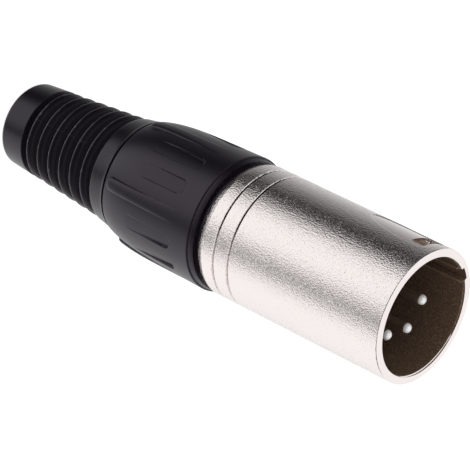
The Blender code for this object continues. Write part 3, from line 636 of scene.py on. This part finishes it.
def build_insert():
    outline = [(0, BOSS_TOP_Z)]
    outline += arc(BOSS_R - INSERT_FILLET, BOSS_TOP_Z - INSERT_FILLET, INSERT_FILLET, 90, 0, 6)
    outline.append((BOSS_R, INSERT_SHOULDER_Z))
    outline += arc(INSERT_R - INSERT_FILLET, INSERT_SHOULDER_Z - INSERT_FILLET, INSERT_FILLET,
                   90, 0, 5)
    outline += arc(INSERT_R - INSERT_FILLET, INSERT_REAR_Z + INSERT_FILLET, INSERT_FILLET,
                   0, -90, 5)
    outline.append((0, INSERT_REAR_Z))
    insert = turned("contact_carrier", [(outline, None)], angles_round(CARRIER_TURN_STEP))
    hole_r = PIN_R + RUNNING_GAP / 2
    collar_hole_r = COLLAR_R + RUNNING_GAP / 2
    hole = [
        (0, BOSS_TOP_Z + HOLE_COUNTERSINK),
        (hole_r + 2 * HOLE_COUNTERSINK, BOSS_TOP_Z + HOLE_COUNTERSINK),
        (hole_r, BOSS_TOP_Z - HOLE_COUNTERSINK),
        (hole_r, HOLE_STEP_Z),
        (collar_hole_r, HOLE_STEP_Z),
        (collar_hole_r, INSERT_REAR_Z - RUNNING_GAP),
        (0, INSERT_REAR_Z - RUNNING_GAP),
    ]
    for name in CONTACT_NAMES:
        form = turned("hole_form", [(hole, None)], angles_round(HOLE_TURN_STEP))
        form.data.transform(Matrix.Translation(node_axis(name)))
        cut(insert, form)
    cut(insert, upright_bar("guide_form", GUIDE_ANGLE, GUIDE_HALF_WIDTH + RUNNING_GAP,
                            BORE_R - GUIDE_HEIGHT - RUNNING_GAP, BORE_R,
                            INSERT_REAR_Z - RUNNING_GAP, INSERT_SHOULDER_Z + RUNNING_GAP))
    spring_low, spring_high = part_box("earth_spring")
    cut(insert, upright_bar("pocket_form", SPRING_ANGLE, SPRING_HALF_WIDTH + RUNNING_GAP,
                            POCKET_FLOOR_R, BORE_R, spring_low[2] - RUNNING_GAP,
                            spring_high[2] + RUNNING_GAP))
    shade(insert, crease=30)
    return insert


def toned(colour, share):
    return tuple(channel * share for channel in colour)


def moulded_finish(name, colour, roughness, grain_form, tone=0.3, shine=0.08, **sockets):
    """Moulded plastic or rubber: spark grain of a size and height, with tone and gloss a little
    uneven."""
    finish, tree, shader = new_finish(name, **sockets)
    grain_size, grain_height = grain_form
    grained = grain(tree, grain_size, MOULDED_CLOUD)
    cloud = grained.outputs["Cloud"]
    feed(tree, shader,
         Base_Color=mix_colour(tree, cloud, toned(colour, 1 - tone), toned(colour, 1 + tone)),
         Roughness=calculate(tree, "MULTIPLY_ADD", cloud, shine, roughness - shine / 2))
    add_bump(tree, shader, grained.outputs["Height"], grain_height)
    return finish


insert = build_insert()
insert.data.materials.append(moulded_finish("carrier_plastic", CARRIER_BLACK, CARRIER_ROUGHNESS,
                                            CARRIER_GRAIN))
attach(insert, "shell_body")
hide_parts("contact_insert")


# Contacts: five pins turned from brass bar and plated with silver, each with a domed tip, a
# collar that seats it in the carrier, and a solder cup behind with its outer side cut away.
CONTACT_LOW, CONTACT_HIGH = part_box("contact_pin_1")
TIP_Z = CONTACT_HIGH[2]
TIP_HEIGHT = 0.62 * MM
CUP_REAR_Z = CONTACT_LOW[2]
COLLAR_REAR_Z = INSERT_REAR_Z + 0.7 * MM
COLLAR_FRONT_Z = COLLAR_REAR_Z + 1.8 * MM
COLLAR_CHAMFER = 0.12 * MM
CUP_R = 1.0 * MM
CUP_BORE_R = 0.65 * MM
CUP_DEPTH = 3.0 * MM
CUP_LIP = 0.08 * MM
CUP_OPENING = 2.2 * MM
CONTACT_TURN_STEP = 7.5

SILVER = (0.97, 0.96, 0.95)
SILVER_GRAIN = 0.1 * MM
SILVER_CLOUD = 1.5 * MM
SILVER_ROUGHNESS = (0.10, 0.16)
TIP_METALLIC = 0.25
# The shank behind the tip is browner and darker than the tip
SHANK_BROWN = (0.76, 0.63, 0.53)
SHANK_BROWN_DARKER = 0.6
SHANK_ROUGHER = 0.3
SHANK_FADE = 0.2 * MM
TURNING_PITCH = 0.09 * MM
TURNING_HEIGHT = 0.0008 * MM
TURNING_STRENGTH = 0.5


def build_contact(name):
    """One contact, upright on its own axis, with the cup's opening away from the plug's axis."""
    axis = node_axis(name)
    outline = [(0, TIP_Z)]
    outline += [(r, TIP_Z - TIP_HEIGHT + z * TIP_HEIGHT / PIN_R)
                for r, z in arc(0, 0, PIN_R, 82, 0, 10)]
    outline += [
        (PIN_R, COLLAR_FRONT_Z),
        (COLLAR_R - COLLAR_CHAMFER, COLLAR_FRONT_Z),
        (COLLAR_R, COLLAR_FRONT_Z - COLLAR_CHAMFER),
        (COLLAR_R, COLLAR_REAR_Z + COLLAR_CHAMFER),
        (COLLAR_R - COLLAR_CHAMFER, COLLAR_REAR_Z),
        (CUP_R, COLLAR_REAR_Z),
        (CUP_R, CUP_REAR_Z + CUP_LIP),
        (CUP_R - CUP_LIP, CUP_REAR_Z),
        (CUP_BORE_R + CUP_LIP, CUP_REAR_Z),
        (CUP_BORE_R, CUP_REAR_Z + CUP_LIP),
        (CUP_BORE_R, CUP_REAR_Z + CUP_DEPTH),
        (0, CUP_REAR_Z + CUP_DEPTH + CUP_BORE_R / 2),
    ]
    contact = turned(name.replace("contact", "silver"), [(outline, None)],
                     angles_round(CONTACT_TURN_STEP))
    cut(contact, upright_bar("cup_form", 0, CUP_R + CUP_LIP, CUP_BORE_R / 2, CUP_R + CUP_LIP,
                             CUP_REAR_Z - CUP_LIP, CUP_REAR_Z + CUP_OPENING))
    contact.data.transform(Matrix.Rotation(math.atan2(axis.y, axis.x), 4, "Z"))
    contact.location = axis
    shade(contact, crease=32)
    return contact


def silver_finish():
    """Plated silver, polished at the tip and dull on the turned shank behind it."""
    finish, tree, shader = new_finish("contact_silver")
    cloud = grain(tree, SILVER_GRAIN, SILVER_CLOUD).outputs["Cloud"]
    height = place_on_piece(tree)["Z"]
    tip_rear_z = TIP_Z - TIP_HEIGHT
    shank = ramp_between(tree, height, tip_rear_z, tip_rear_z - SHANK_FADE)
    # Browner and darker on the shank behind the tip
    shank_colour = mix_colour(tree, cloud, SHANK_BROWN, toned(SHANK_BROWN, SHANK_BROWN_DARKER))
    uneven = between(tree, cloud, *SILVER_ROUGHNESS)
    feed(tree, shader, Base_Color=mix_colour(tree, shank, SILVER, shank_colour),
         Metallic=between(tree, shank, TIP_METALLIC, 1.0),
         Roughness=calculate(tree, "MULTIPLY_ADD", shank, SHANK_ROUGHER, uneven))
    rings = calculate(tree, "SINE", product(tree, height, 2 * math.pi / TURNING_PITCH))
    add_bump(tree, shader, rings, TURNING_HEIGHT, TURNING_STRENGTH)
    return finish


silver = silver_finish()
for contact_name in CONTACT_NAMES:
    contact = build_contact(contact_name)
    contact.data.materials.append(silver)
    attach(contact, "shell_body")
    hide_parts(contact_name)


# Earth spring: a strip of bronze bowed between the carrier's pocket and the shell's bore, which
# earths the shell. It is out of sight, and keeps the form of its solid.
BRONZE = (0.56, 0.38, 0.17)
BRONZE_STAINED = (0.42, 0.25, 0.11)
BRONZE_GRAIN = 0.08 * MM
BRONZE_CLOUD = 2 * MM
BRONZE_ROUGHNESS = (0.25, 0.45)


def bronze_finish():
    finish, tree, shader = new_finish("spring_bronze", Metallic=1.0)
    grained = grain(tree, BRONZE_GRAIN, BRONZE_CLOUD)
    feed(tree, shader,
         Base_Color=mix_colour(tree, grained.outputs["Cloud"], BRONZE, BRONZE_STAINED),
         Roughness=between(tree, grained.outputs["Height"], *BRONZE_ROUGHNESS))
    return finish


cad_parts["earth_spring"].material_slots[0].material = bronze_finish()


# Cable clamp: one moulding of pale nylon, with a keyed skirt in the shell, a flange under the
# neck and four tapered jaws, which the nut's seat closes on the cable.
CLAMP_PALE = (0.50, 0.49, 0.46)
CLAMP_ROUGHNESS = 0.5
CLAMP_GRAIN = (0.15 * MM, 0.008 * MM)
CLAMP_TONE = 0.06

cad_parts["cable_clamp"].material_slots[0].material = moulded_finish(
    "clamp_plastic", CLAMP_PALE, CLAMP_ROUGHNESS, CLAMP_GRAIN, tone=CLAMP_TONE)


# Back nut: hard black plastic, moulded with five raised grip ribs and ten sunk slots between
# them. It screws on the shell's neck and closes the clamp; the spigot behind carries the boot.
NUT_FRONT_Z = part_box("back_nut")[1][2]
SPIGOT_REAR_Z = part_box("back_nut")[0][2]
NUT_REAR_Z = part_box("boot")[1][2] + RUNNING_GAP
NUT_RING_Z = NUT_FRONT_Z - 1.35 * MM
NUT_R = 9.88 * MM
NUT_TAPER = 0.39 * MM
NUT_SHOULDER = 0.84 * MM
NUT_SHOULDER_POWER = 5.5
NUT_RING_R = 9.70 * MM
NUT_RING_FALL = ((0.81, 0.0), (0.79, 0.50), (0.26, 0.52))
NUT_RING_EDGE = 0.06 * MM
NUT_REAR_FILLET = 0.1 * MM
NUT_BORE_R = 8.85 * MM
JAW_SEAT_Z = (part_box("cable_clamp")[0][2], 31.35 * MM)
JAW_SEAT_R = (5.35 * MM, 7.85 * MM)
FLANGE_ROOM_R = 8.2 * MM
SPIGOT_BORE_R = 4.2 * MM
SPIGOT_R = 5.6 * MM
BEAD_R = 6.4 * MM
BEAD_FRONT_Z = NUT_REAR_Z - 1.75 * MM
BEAD_LENGTH = 1.5 * MM

RIB_ANGLES = [180.0 + 72.0 * number for number in range(5)]
RIB_HALF_WIDTH = 1.0 * MM
RIB_HEIGHT = 0.44 * MM
RIB_REAR_Z = NUT_REAR_Z + 0.55 * MM
RIB_FRONT_Z = NUT_FRONT_Z - 4.05 * MM
RIB_FADE_POWER = 1.2
SLOT_ANGLES = [rib + offset for rib in RIB_ANGLES for offset in (24.0, 48.0)]
SLOT_HALF_WIDTH = 1.08 * MM
SLOT_DEPTH = 0.38 * MM
SLOT_FRONT_Z = NUT_FRONT_Z - 4.7 * MM
SLOT_REAR_Z = NUT_REAR_Z + 5.2 * MM
SLOT_EDGE = 0.045 * MM
END_AHEAD = 0.4 * MM
END_BEHIND = 1.4 * MM
GRIP_STEPS = (0.5 * MM, 0.07 * MM, 0.4 * MM, 0.07 * MM)
NUT_TURN_STEP = 1.5
EDGE_ZONE = 1.5
EDGE_STEP = 0.2

NUT_BLACK = (0.0044, 0.0024, 0.0066)
NUT_ROUGHNESS = 0.33
NUT_GRAIN = (0.16 * MM, 0.010 * MM)
NUT_IOR = 1.56
VIOLET_GLOSS = (0.96, 0.87, 0.985, 1.0)


def nut_radius(height):
    """The grip's slow cone, which rounds over into a shoulder at its rear."""
    left = (NUT_RING_Z - height) / (NUT_RING_Z - NUT_REAR_Z)
    return NUT_R - NUT_TAPER * left - NUT_SHOULDER * left**NUT_SHOULDER_POWER


def grip_relief(radius, height, angle):
    """Ribs that rise round at the rear and die into the cone, and slots the other way round."""
    shaped = radius.copy()
    run = (height - RIB_REAR_Z) / (RIB_FRONT_Z - RIB_REAR_Z)
    proud = RIB_HEIGHT * np.clip(1 - run, 0, 1) ** RIB_FADE_POWER
    for middle in RIB_ANGLES:
        across = np.abs(radius * np.radians(distance_round(angle, middle)))
        behind = np.minimum(height - RIB_REAR_Z - RIB_HALF_WIDTH, 0)
        from_middle = np.hypot(across, behind) / RIB_HALF_WIDTH
        shaped += proud * np.sqrt(np.clip(1 - from_middle**4, 0, 1))
    run = (height - SLOT_REAR_Z) / (SLOT_FRONT_Z - SLOT_REAR_Z)
    depth = SLOT_DEPTH * np.clip(run, 0, 1)
    for middle in SLOT_ANGLES:
        across = np.abs(radius * np.radians(distance_round(angle, middle)))
        ahead = np.maximum(height - SLOT_FRONT_Z + SLOT_HALF_WIDTH, 0)
        outside = np.hypot(across, ahead) - SLOT_HALF_WIDTH
        shaped -= depth * ease(SLOT_EDGE, -SLOT_EDGE, outside)
    return shaped


def build_nut():
    edge = NUT_RING_EDGE
    front = [(NUT_BORE_R, NUT_FRONT_Z)]
    front += [(NUT_RING_R - drop * MM, NUT_FRONT_Z - below * MM) for drop, below in NUT_RING_FALL]
    front += [(NUT_RING_R, NUT_RING_Z + edge), (NUT_RING_R, NUT_RING_Z)]
    front += arc(nut_radius(NUT_RING_Z) - edge, NUT_RING_Z - edge, edge, 90, 20, 5)
    rear_edge = NUT_REAR_Z + NUT_REAR_FILLET
    stations = (NUT_RING_Z - 3 * edge, SLOT_FRONT_Z + END_AHEAD, SLOT_FRONT_Z - END_BEHIND,
                RIB_REAR_Z + END_BEHIND, rear_edge)
    grip = [(nut_radius(level), level) for level in heights_through(stations, GRIP_STEPS)]
    rear = arc(nut_radius(rear_edge) - NUT_REAR_FILLET, rear_edge, NUT_REAR_FILLET, 0, -90, 5)[1:]
    rear += [
        (SPIGOT_R, NUT_REAR_Z),
        (SPIGOT_R, BEAD_FRONT_Z),
        (BEAD_R, BEAD_FRONT_Z),
        (BEAD_R, BEAD_FRONT_Z - BEAD_LENGTH / 2),
        (SPIGOT_R, BEAD_FRONT_Z - BEAD_LENGTH),
        (SPIGOT_R, SPIGOT_REAR_Z),
        (SPIGOT_BORE_R, SPIGOT_REAR_Z),
        (SPIGOT_BORE_R, JAW_SEAT_Z[0] - RUNNING_GAP),
        (JAW_SEAT_R[0], JAW_SEAT_Z[0] - RUNNING_GAP),
        (JAW_SEAT_R[1], JAW_SEAT_Z[1]),
        (FLANGE_ROOM_R, JAW_SEAT_Z[1]),
        (FLANGE_ROOM_R, NECK_REAR_Z - RUNNING_GAP),
        (NUT_BORE_R, NECK_REAR_Z),
    ]
    zones = [((middle + side * math.degrees(half_width / NUT_R)) % 360, EDGE_ZONE, EDGE_STEP)
             for middles, half_width in ((RIB_ANGLES, RIB_HALF_WIDTH),
                                         (SLOT_ANGLES, SLOT_HALF_WIDTH))
             for middle in middles for side in (-1, 1)]
    nut = turned("grip_nut", [(front, None), (grip, grip_relief), (rear, None)],
                 angles_round(NUT_TURN_STEP, *zones))
    shade(nut, crease=40)
    return nut


nut = build_nut()
nut.data.materials.append(moulded_finish("nut_plastic", NUT_BLACK, NUT_ROUGHNESS, NUT_GRAIN,
                                         IOR=NUT_IOR, Specular_Tint=VIOLET_GLOSS))
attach(nut, "nut_body")
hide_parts("back_nut")


# Boot: a strain relief moulded in soft black rubber, with a plain cuff, six rings and a front
# band. It is stretched over the bead of the nut's spigot.
BOOT_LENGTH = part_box("boot")[1][2]
BOOT_END_R = 6.2 * MM
BOOT_FRONT_R = 8.46 * MM
BOOT_FLARE = 0.42 * MM
BOOT_FLARE_LENGTH = 6.0 * MM
BOOT_TAPER = (BOOT_FRONT_R - BOOT_FLARE - BOOT_END_R) / BOOT_LENGTH
BOOT_EDGE = 0.1 * MM
BOOT_FRONT_LIP = ((5, 0), (5, 1), (0.5, 1.4), (0, 1.9))
BOOT_STEPS = (0.4 * MM, 0.5 * MM)
BOOT_TURN_STEP = 1.0
BOOT_BORE_R = 3.5 * MM
BOOT_FILLET = 0.7 * MM
CUFF_LENGTH = 4.65 * MM
RING_COUNT = 6
RING_WIDTH = 1.3 * MM
RING_GAP = 1.06 * MM
RING_GROOVE_DEPTH = 0.95 * MM
RING_GROOVE_LEAN = 0.06 * MM
GROOVE_ROUND = 0.8
GROOVE_WALL = 85
GROOVE_FOOT = -60
RING_REAR_ROUND = 0.22 * MM
RING_FRONT_DROP = 0.66 * MM
CROWN_EVEN_SHARE = 0.6
CROWN_PLACES = (1.0, 0.92, 0.82, 0.7, 0.5, 0.3, 0.12)
SOCKET_R = SPIGOT_R + RUNNING_GAP
PARTING_ANGLES = (156.0, 336.0)
PARTING_HEIGHT = 0.03 * MM
PARTING_HALF_WIDTH = 0.12 * MM

BOOT_BLACK = (0.0042, 0.0026, 0.0058)
BOOT_ROUGHNESS = 0.29
BOOT_GRAIN = (0.14 * MM, 0.008 * MM)
BOOT_IOR = 1.5
# Painted highlight: a pale line on the rear edges of the rings
RING_EDGE_HIGHLIGHT = (0.27, 0.265, 0.27)
RING_EDGE_BEND = (0.510, 0.58)
GROOVE_DULL = (0.62 * MM, 0.16 * MM)
GROOVE_ROUGHER = 0.6


def boot_radius(height):
    """Outside of the boot: a straight taper that flares where it meets the nut."""
    flare = max(0.0, 1 - (BOOT_LENGTH - height) / BOOT_FLARE_LENGTH)
    return BOOT_END_R + BOOT_TAPER * height + BOOT_FLARE * flare**2


def ring_section(rear, front):
    """One ring from its front down: a crown that falls away to the front, and a round rear."""
    crown_r = boot_radius(rear)
    start = rear + RING_REAR_ROUND
    points = []
    for share in CROWN_PLACES:
        fall = CROWN_EVEN_SHARE * share + (1 - CROWN_EVEN_SHARE) * share**3
        points.append((crown_r - RING_FRONT_DROP * fall, start + (front - start) * share))
    points += arc(crown_r - RING_REAR_ROUND, start, RING_REAR_ROUND, 0, -GROOVE_WALL, 8)
    return points


def groove_section(rear, front, last=GROOVE_FOOT):
    """The groove's round floor between two rings, from the front down to the next ring's foot."""
    floor_r = boot_radius(rear) - RING_GROOVE_DEPTH
    middle, half = (rear + front) / 2, (front - rear) / 2 - RING_GROOVE_LEAN
    return [(floor_r + half * (1 - math.cos(t)) * GROOVE_ROUND, middle + half * math.sin(t))
            for t in np.radians(np.linspace(GROOVE_WALL, last, 9))]


def parting_relief(radius, height, angle):
    """The faint line where the mould's halves met, along both sides."""
    shaped = radius.copy()
    for middle in PARTING_ANGLES:
        across = np.abs(radius * np.radians(distance_round(angle, middle)))
        shaped += PARTING_HEIGHT * ease(PARTING_HALF_WIDTH, 0, across)
    return shaped


def build_boot():
    edge = BOOT_EDGE
    band_step, cuff_step = BOOT_STEPS
    band_rear = CUFF_LENGTH + RING_COUNT * (RING_WIDTH + RING_GAP) + RING_GAP
    front_r = boot_radius(BOOT_LENGTH)
    outline = [(front_r - inward * edge, BOOT_LENGTH - below * edge)
               for inward, below in BOOT_FRONT_LIP]
    outline += [(boot_radius(level), level)
                for level in heights(BOOT_LENGTH - 3 * edge, band_rear + 2 * edge, band_step)]
    outline += arc(boot_radius(band_rear) - edge, band_rear + edge, edge, 0, -80, 4)
    front = band_rear
    for _ in range(RING_COUNT):
        rear = front - RING_GAP
        outline += groove_section(rear, front)
        front = rear - RING_WIDTH
        outline += ring_section(front, rear)
    outline += groove_section(CUFF_LENGTH, front, -GROOVE_WALL)
    outline += arc(boot_radius(CUFF_LENGTH) - edge, CUFF_LENGTH - edge, edge, 80, 10, 4)
    outline += [(boot_radius(level), level)
                for level in heights(CUFF_LENGTH - 2 * edge, BOOT_FILLET + edge, cuff_step)]
    outline += arc(boot_radius(BOOT_FILLET) - BOOT_FILLET, BOOT_FILLET, BOOT_FILLET, 0, -90, 9)
    bead_top = BEAD_FRONT_Z + RUNNING_GAP
    bead_bottom = BEAD_FRONT_Z - BEAD_LENGTH - RUNNING_GAP
    inside = [
        (BOOT_BORE_R + edge, 0.0),
        (BOOT_BORE_R, edge),
        (BOOT_BORE_R, SPIGOT_REAR_Z - RUNNING_GAP),
        (SOCKET_R, SPIGOT_REAR_Z - RUNNING_GAP),
        (SOCKET_R, bead_bottom),
        (BEAD_R + RUNNING_GAP, BEAD_FRONT_Z - BEAD_LENGTH / 2),
        (BEAD_R + RUNNING_GAP, bead_top),
        (SOCKET_R, bead_top),
        (SOCKET_R, BOOT_LENGTH),
    ]
    boot = turned("ringed_boot", [(outline, parting_relief), (inside, None)],
                  angles_round(BOOT_TURN_STEP))
    shade(boot, crease=40)
    return boot


def boot_finish():
    """Black rubber with a pale painted highlight on the rear edges of the rings, and dull down in
    the grooves between them."""
    finish = moulded_finish("boot_rubber", BOOT_BLACK, BOOT_ROUGHNESS, BOOT_GRAIN, IOR=BOOT_IOR,
                            Specular_Tint=VIOLET_GLOSS)
    tree = finish.node_tree
    shader = tree.nodes["Principled BSDF"]
    place = place_on_piece(tree)
    outside = calculate(tree, "MULTIPLY_ADD", place["Z"], BOOT_TAPER, BOOT_END_R)
    depth = calculate(tree, "SUBTRACT", outside, distance_from_axis(tree, place))
    on_crown = ramp_between(tree, depth, *GROOVE_DULL)
    even = shader.inputs["Roughness"].links[0].from_socket
    rougher = between(tree, on_crown, GROOVE_ROUGHER, 0.0)
    feed(tree, shader, Roughness=calculate(tree, "ADD", even, rougher))
    rings_rear = CUFF_LENGTH + RING_GAP / 2
    rings_front = CUFF_LENGTH + RING_COUNT * (RING_WIDTH + RING_GAP) + RING_GAP / 2
    on_rings = calculate(tree, "COMPARE", place["Z"], (rings_rear + rings_front) / 2,
                         (rings_front - rings_rear) / 2)
    # Painted highlight on the sharp rear edges of the rings
    bend = tree.nodes.new("ShaderNodeNewGeometry").outputs["Pointiness"]
    painted_highlight = product(tree, ramp_between(tree, bend, *RING_EDGE_BEND), on_rings, on_crown)
    plain = shader.inputs["Base Color"].links[0].from_socket
    feed(tree, shader, Base_Color=mix_colour(tree, painted_highlight, plain, RING_EDGE_HIGHLIGHT))
    return finish


boot = build_boot()
boot.data.materials.append(boot_finish())
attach(boot, "nut_body")
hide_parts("boot")


# Studio: a white floor with the plug's faint soft shadow, and plain white light from all round.
# Gloss shows the same white room, broken by a soft dark flag on each side and by the dark half of
# the room that the camera stands in, as in a product photograph.
FLOOR_HALF = 1.5
FLOOR_DROP = 0.02 * MM
FLOOR_GLOW = 0.9
FLOOR_SHARE = 0.25
FLOOR_COLOUR = (0.8, 0.8, 0.8)
ROOM_BY_AZIMUTH = ((-180, 0.88), (-168, 0.74), (-160, 0.02), (-153, 0.02), (-145, 0.74),
                   (-130, 1.0), (-100, 1.0), (-25, 0.92), (0, 0.80), (30, 0.42), (60, 0.16),
                   (79, 0.0), (102, 0.0), (111, 0.45), (120, 1.0), (165, 1.0), (180, 0.95))
ROOM_LOW_EDGE = (-0.02, -0.28)
ROOM_HIGH_EDGE = (0.45, 0.68)
CAMERA_SPOT = (163.0, 35.0)
CAMERA_SPOT_EDGE = (26.0, 13.0)
ROOM_ABOVE = 0.95
CAMERA_SIDE = 163.0
CAMERA_SIDE_EDGE = (-0.30, -0.75)
CAMERA_SIDE_LEVEL = 0.03


def join_shaders(tree, kind, first, second, **values):
    """Two shaders added or mixed in a node of the kind."""
    made = add_node(tree, kind, **values)
    for shader, socket in zip((first, second), [*made.inputs][-2:]):
        tree.links.new(shader.outputs[0], socket)
    return made


def floor_finish():
    """Lit by itself for the camera, so that it is white and keeps a soft share of the shadow,
    plain for the light that falls on the plug, and not there for its gloss."""
    finish = bpy.data.materials.new("studio_floor")
    finish.use_nodes = True
    tree = finish.node_tree
    tree.nodes.remove(tree.nodes["Principled BSDF"])
    ray = tree.nodes.new("ShaderNodeLightPath").outputs
    plain = add_node(tree, "ShaderNodeBsdfDiffuse", Color=(*FLOOR_COLOUR, 1.0))
    shadowed = add_node(tree, "ShaderNodeBsdfDiffuse", Color=(*(FLOOR_SHARE,) * 3, 1.0))
    glow = add_node(tree, "ShaderNodeEmission", Strength=FLOOR_GLOW)
    clear = tree.nodes.new("ShaderNodeBsdfTransparent")
    seen = join_shaders(tree, "ShaderNodeAddShader", shadowed, glow)
    lit = join_shaders(tree, "ShaderNodeMixShader", plain, seen, Fac=ray["Is Camera Ray"])
    whole = join_shaders(tree, "ShaderNodeMixShader", lit, clear, Fac=ray["Is Glossy Ray"])
    feed(tree, tree.nodes["Material Output"], Surface=whole.outputs[0])
    return finish


def nearness(tree, towards, azimuth, elevation):
    """How near a direction is to one in the room, as the cosine of the angle between them."""
    turn, rise = math.radians(azimuth), math.radians(elevation)
    made = add_node(tree, "ShaderNodeVectorMath", {"operation": "DOT_PRODUCT"})
    tree.links.new(towards, made.inputs[0])
    made.inputs[1].default_value = (math.cos(rise) * math.cos(turn),
                                    math.cos(rise) * math.sin(turn), math.sin(rise))
    return made.outputs["Value"]


def light_room():
    """Plain white for the light that falls on the plug. What its gloss shows is a band round the
    horizon by azimuth, a plain level above it, and the dark half of the room near the camera."""
    world = bpy.data.worlds.new("white_room")
    bpy.context.scene.world = world
    world.use_nodes = True
    world.cycles.sampling_method = "NONE"
    tree = world.node_tree
    towards = tree.nodes.new("ShaderNodeTexCoord").outputs["Generated"]
    part = add_node(tree, "ShaderNodeSeparateXYZ", Vector=towards)
    azimuth = calculate(tree, "ARCTAN2", part.outputs["Y"], part.outputs["X"])
    turn = calculate(tree, "MULTIPLY_ADD", azimuth, 1 / (2 * math.pi), 0.5)
    ramp = add_node(tree, "ShaderNodeValToRGB", Fac=turn)
    stops = ramp.color_ramp
    stops.interpolation = "B_SPLINE"
    while len(stops.elements) < len(ROOM_BY_AZIMUTH):
        stops.elements.new(0.5)
    for stop, (angle, level) in zip(stops.elements, ROOM_BY_AZIMUTH):
        stop.position = (angle + 180) / 360
        stop.color = (level, level, level, 1)
    away = ramp_between(tree, nearness(tree, towards, CAMERA_SIDE, 0), *CAMERA_SIDE_EDGE)
    middle = add_node(tree, "ShaderNodeMapRange", Value=away, To_Min=CAMERA_SIDE_LEVEL,
                      To_Max=ROOM_ABOVE).outputs["Result"]
    low = ramp_between(tree, part.outputs["Z"], *ROOM_LOW_EDGE)
    band = add_node(tree, "ShaderNodeMapRange", Value=low, To_Min=middle,
                    To_Max=ramp.outputs["Color"]).outputs["Result"]
    high = ramp_between(tree, part.outputs["Z"], *ROOM_HIGH_EDGE)
    gloss = add_node(tree, "ShaderNodeMapRange", Value=high, To_Min=band,
                     To_Max=ROOM_ABOVE).outputs["Result"]
    open_room = ramp_between(tree, nearness(tree, towards, *CAMERA_SPOT),
                             *(math.cos(math.radians(edge)) for edge in CAMERA_SPOT_EDGE[::-1]))
    gloss = calculate(tree, "MULTIPLY", gloss, calculate(tree, "MAXIMUM", open_room,
                                                         CAMERA_SIDE_LEVEL))
    ray = tree.nodes.new("ShaderNodeLightPath")
    level = add_node(tree, "ShaderNodeMapRange", Value=ray.outputs["Is Glossy Ray"], To_Min=1.0,
                     To_Max=gloss).outputs["Result"]
    feed(tree, tree.nodes["Background"], Strength=level, Color=(1, 1, 1, 1))


floor = link_mesh("studio_floor", [(-FLOOR_HALF, -FLOOR_HALF, 0), (FLOOR_HALF, -FLOOR_HALF, 0),
                                   (FLOOR_HALF, FLOOR_HALF, 0), (-FLOOR_HALF, FLOOR_HALF, 0)],
                  [(0, 1, 2, 3)])
floor.location.z = -FLOOR_DROP
floor.data.materials.append(floor_finish())
light_room()


# Camera: a long lens above the rim, rolled so that the plug lies across the picture from the
# boot's end at the upper left to the open rim at the lower right.
CAMERA_PLACE = Vector((-0.27649, 0.08310, 0.24438))
CAMERA_RIGHT = Vector((0.62335, 0.27499, 0.73199))
CAMERA_UP = Vector((0.01658, 0.93126, -0.36396))
CAMERA_LENS = 199.15
CAMERA_SENSOR = 36.0
CAMERA_NEAR = 0.01

camera_data = bpy.data.cameras.new("camera")
camera_data.lens = CAMERA_LENS
camera_data.sensor_width = CAMERA_SENSOR
camera_data.clip_start = CAMERA_NEAR
camera = link_object("camera", camera_data)
back = CAMERA_RIGHT.cross(CAMERA_UP)
camera.matrix_world = Matrix.Translation(CAMERA_PLACE) @ Matrix(
    (CAMERA_RIGHT, CAMERA_UP, back)).transposed().to_4x4()
bpy.context.scene.camera = camera
bpy.context.scene.view_settings.view_transform = "Standard"

bpy.context.view_layer.update()
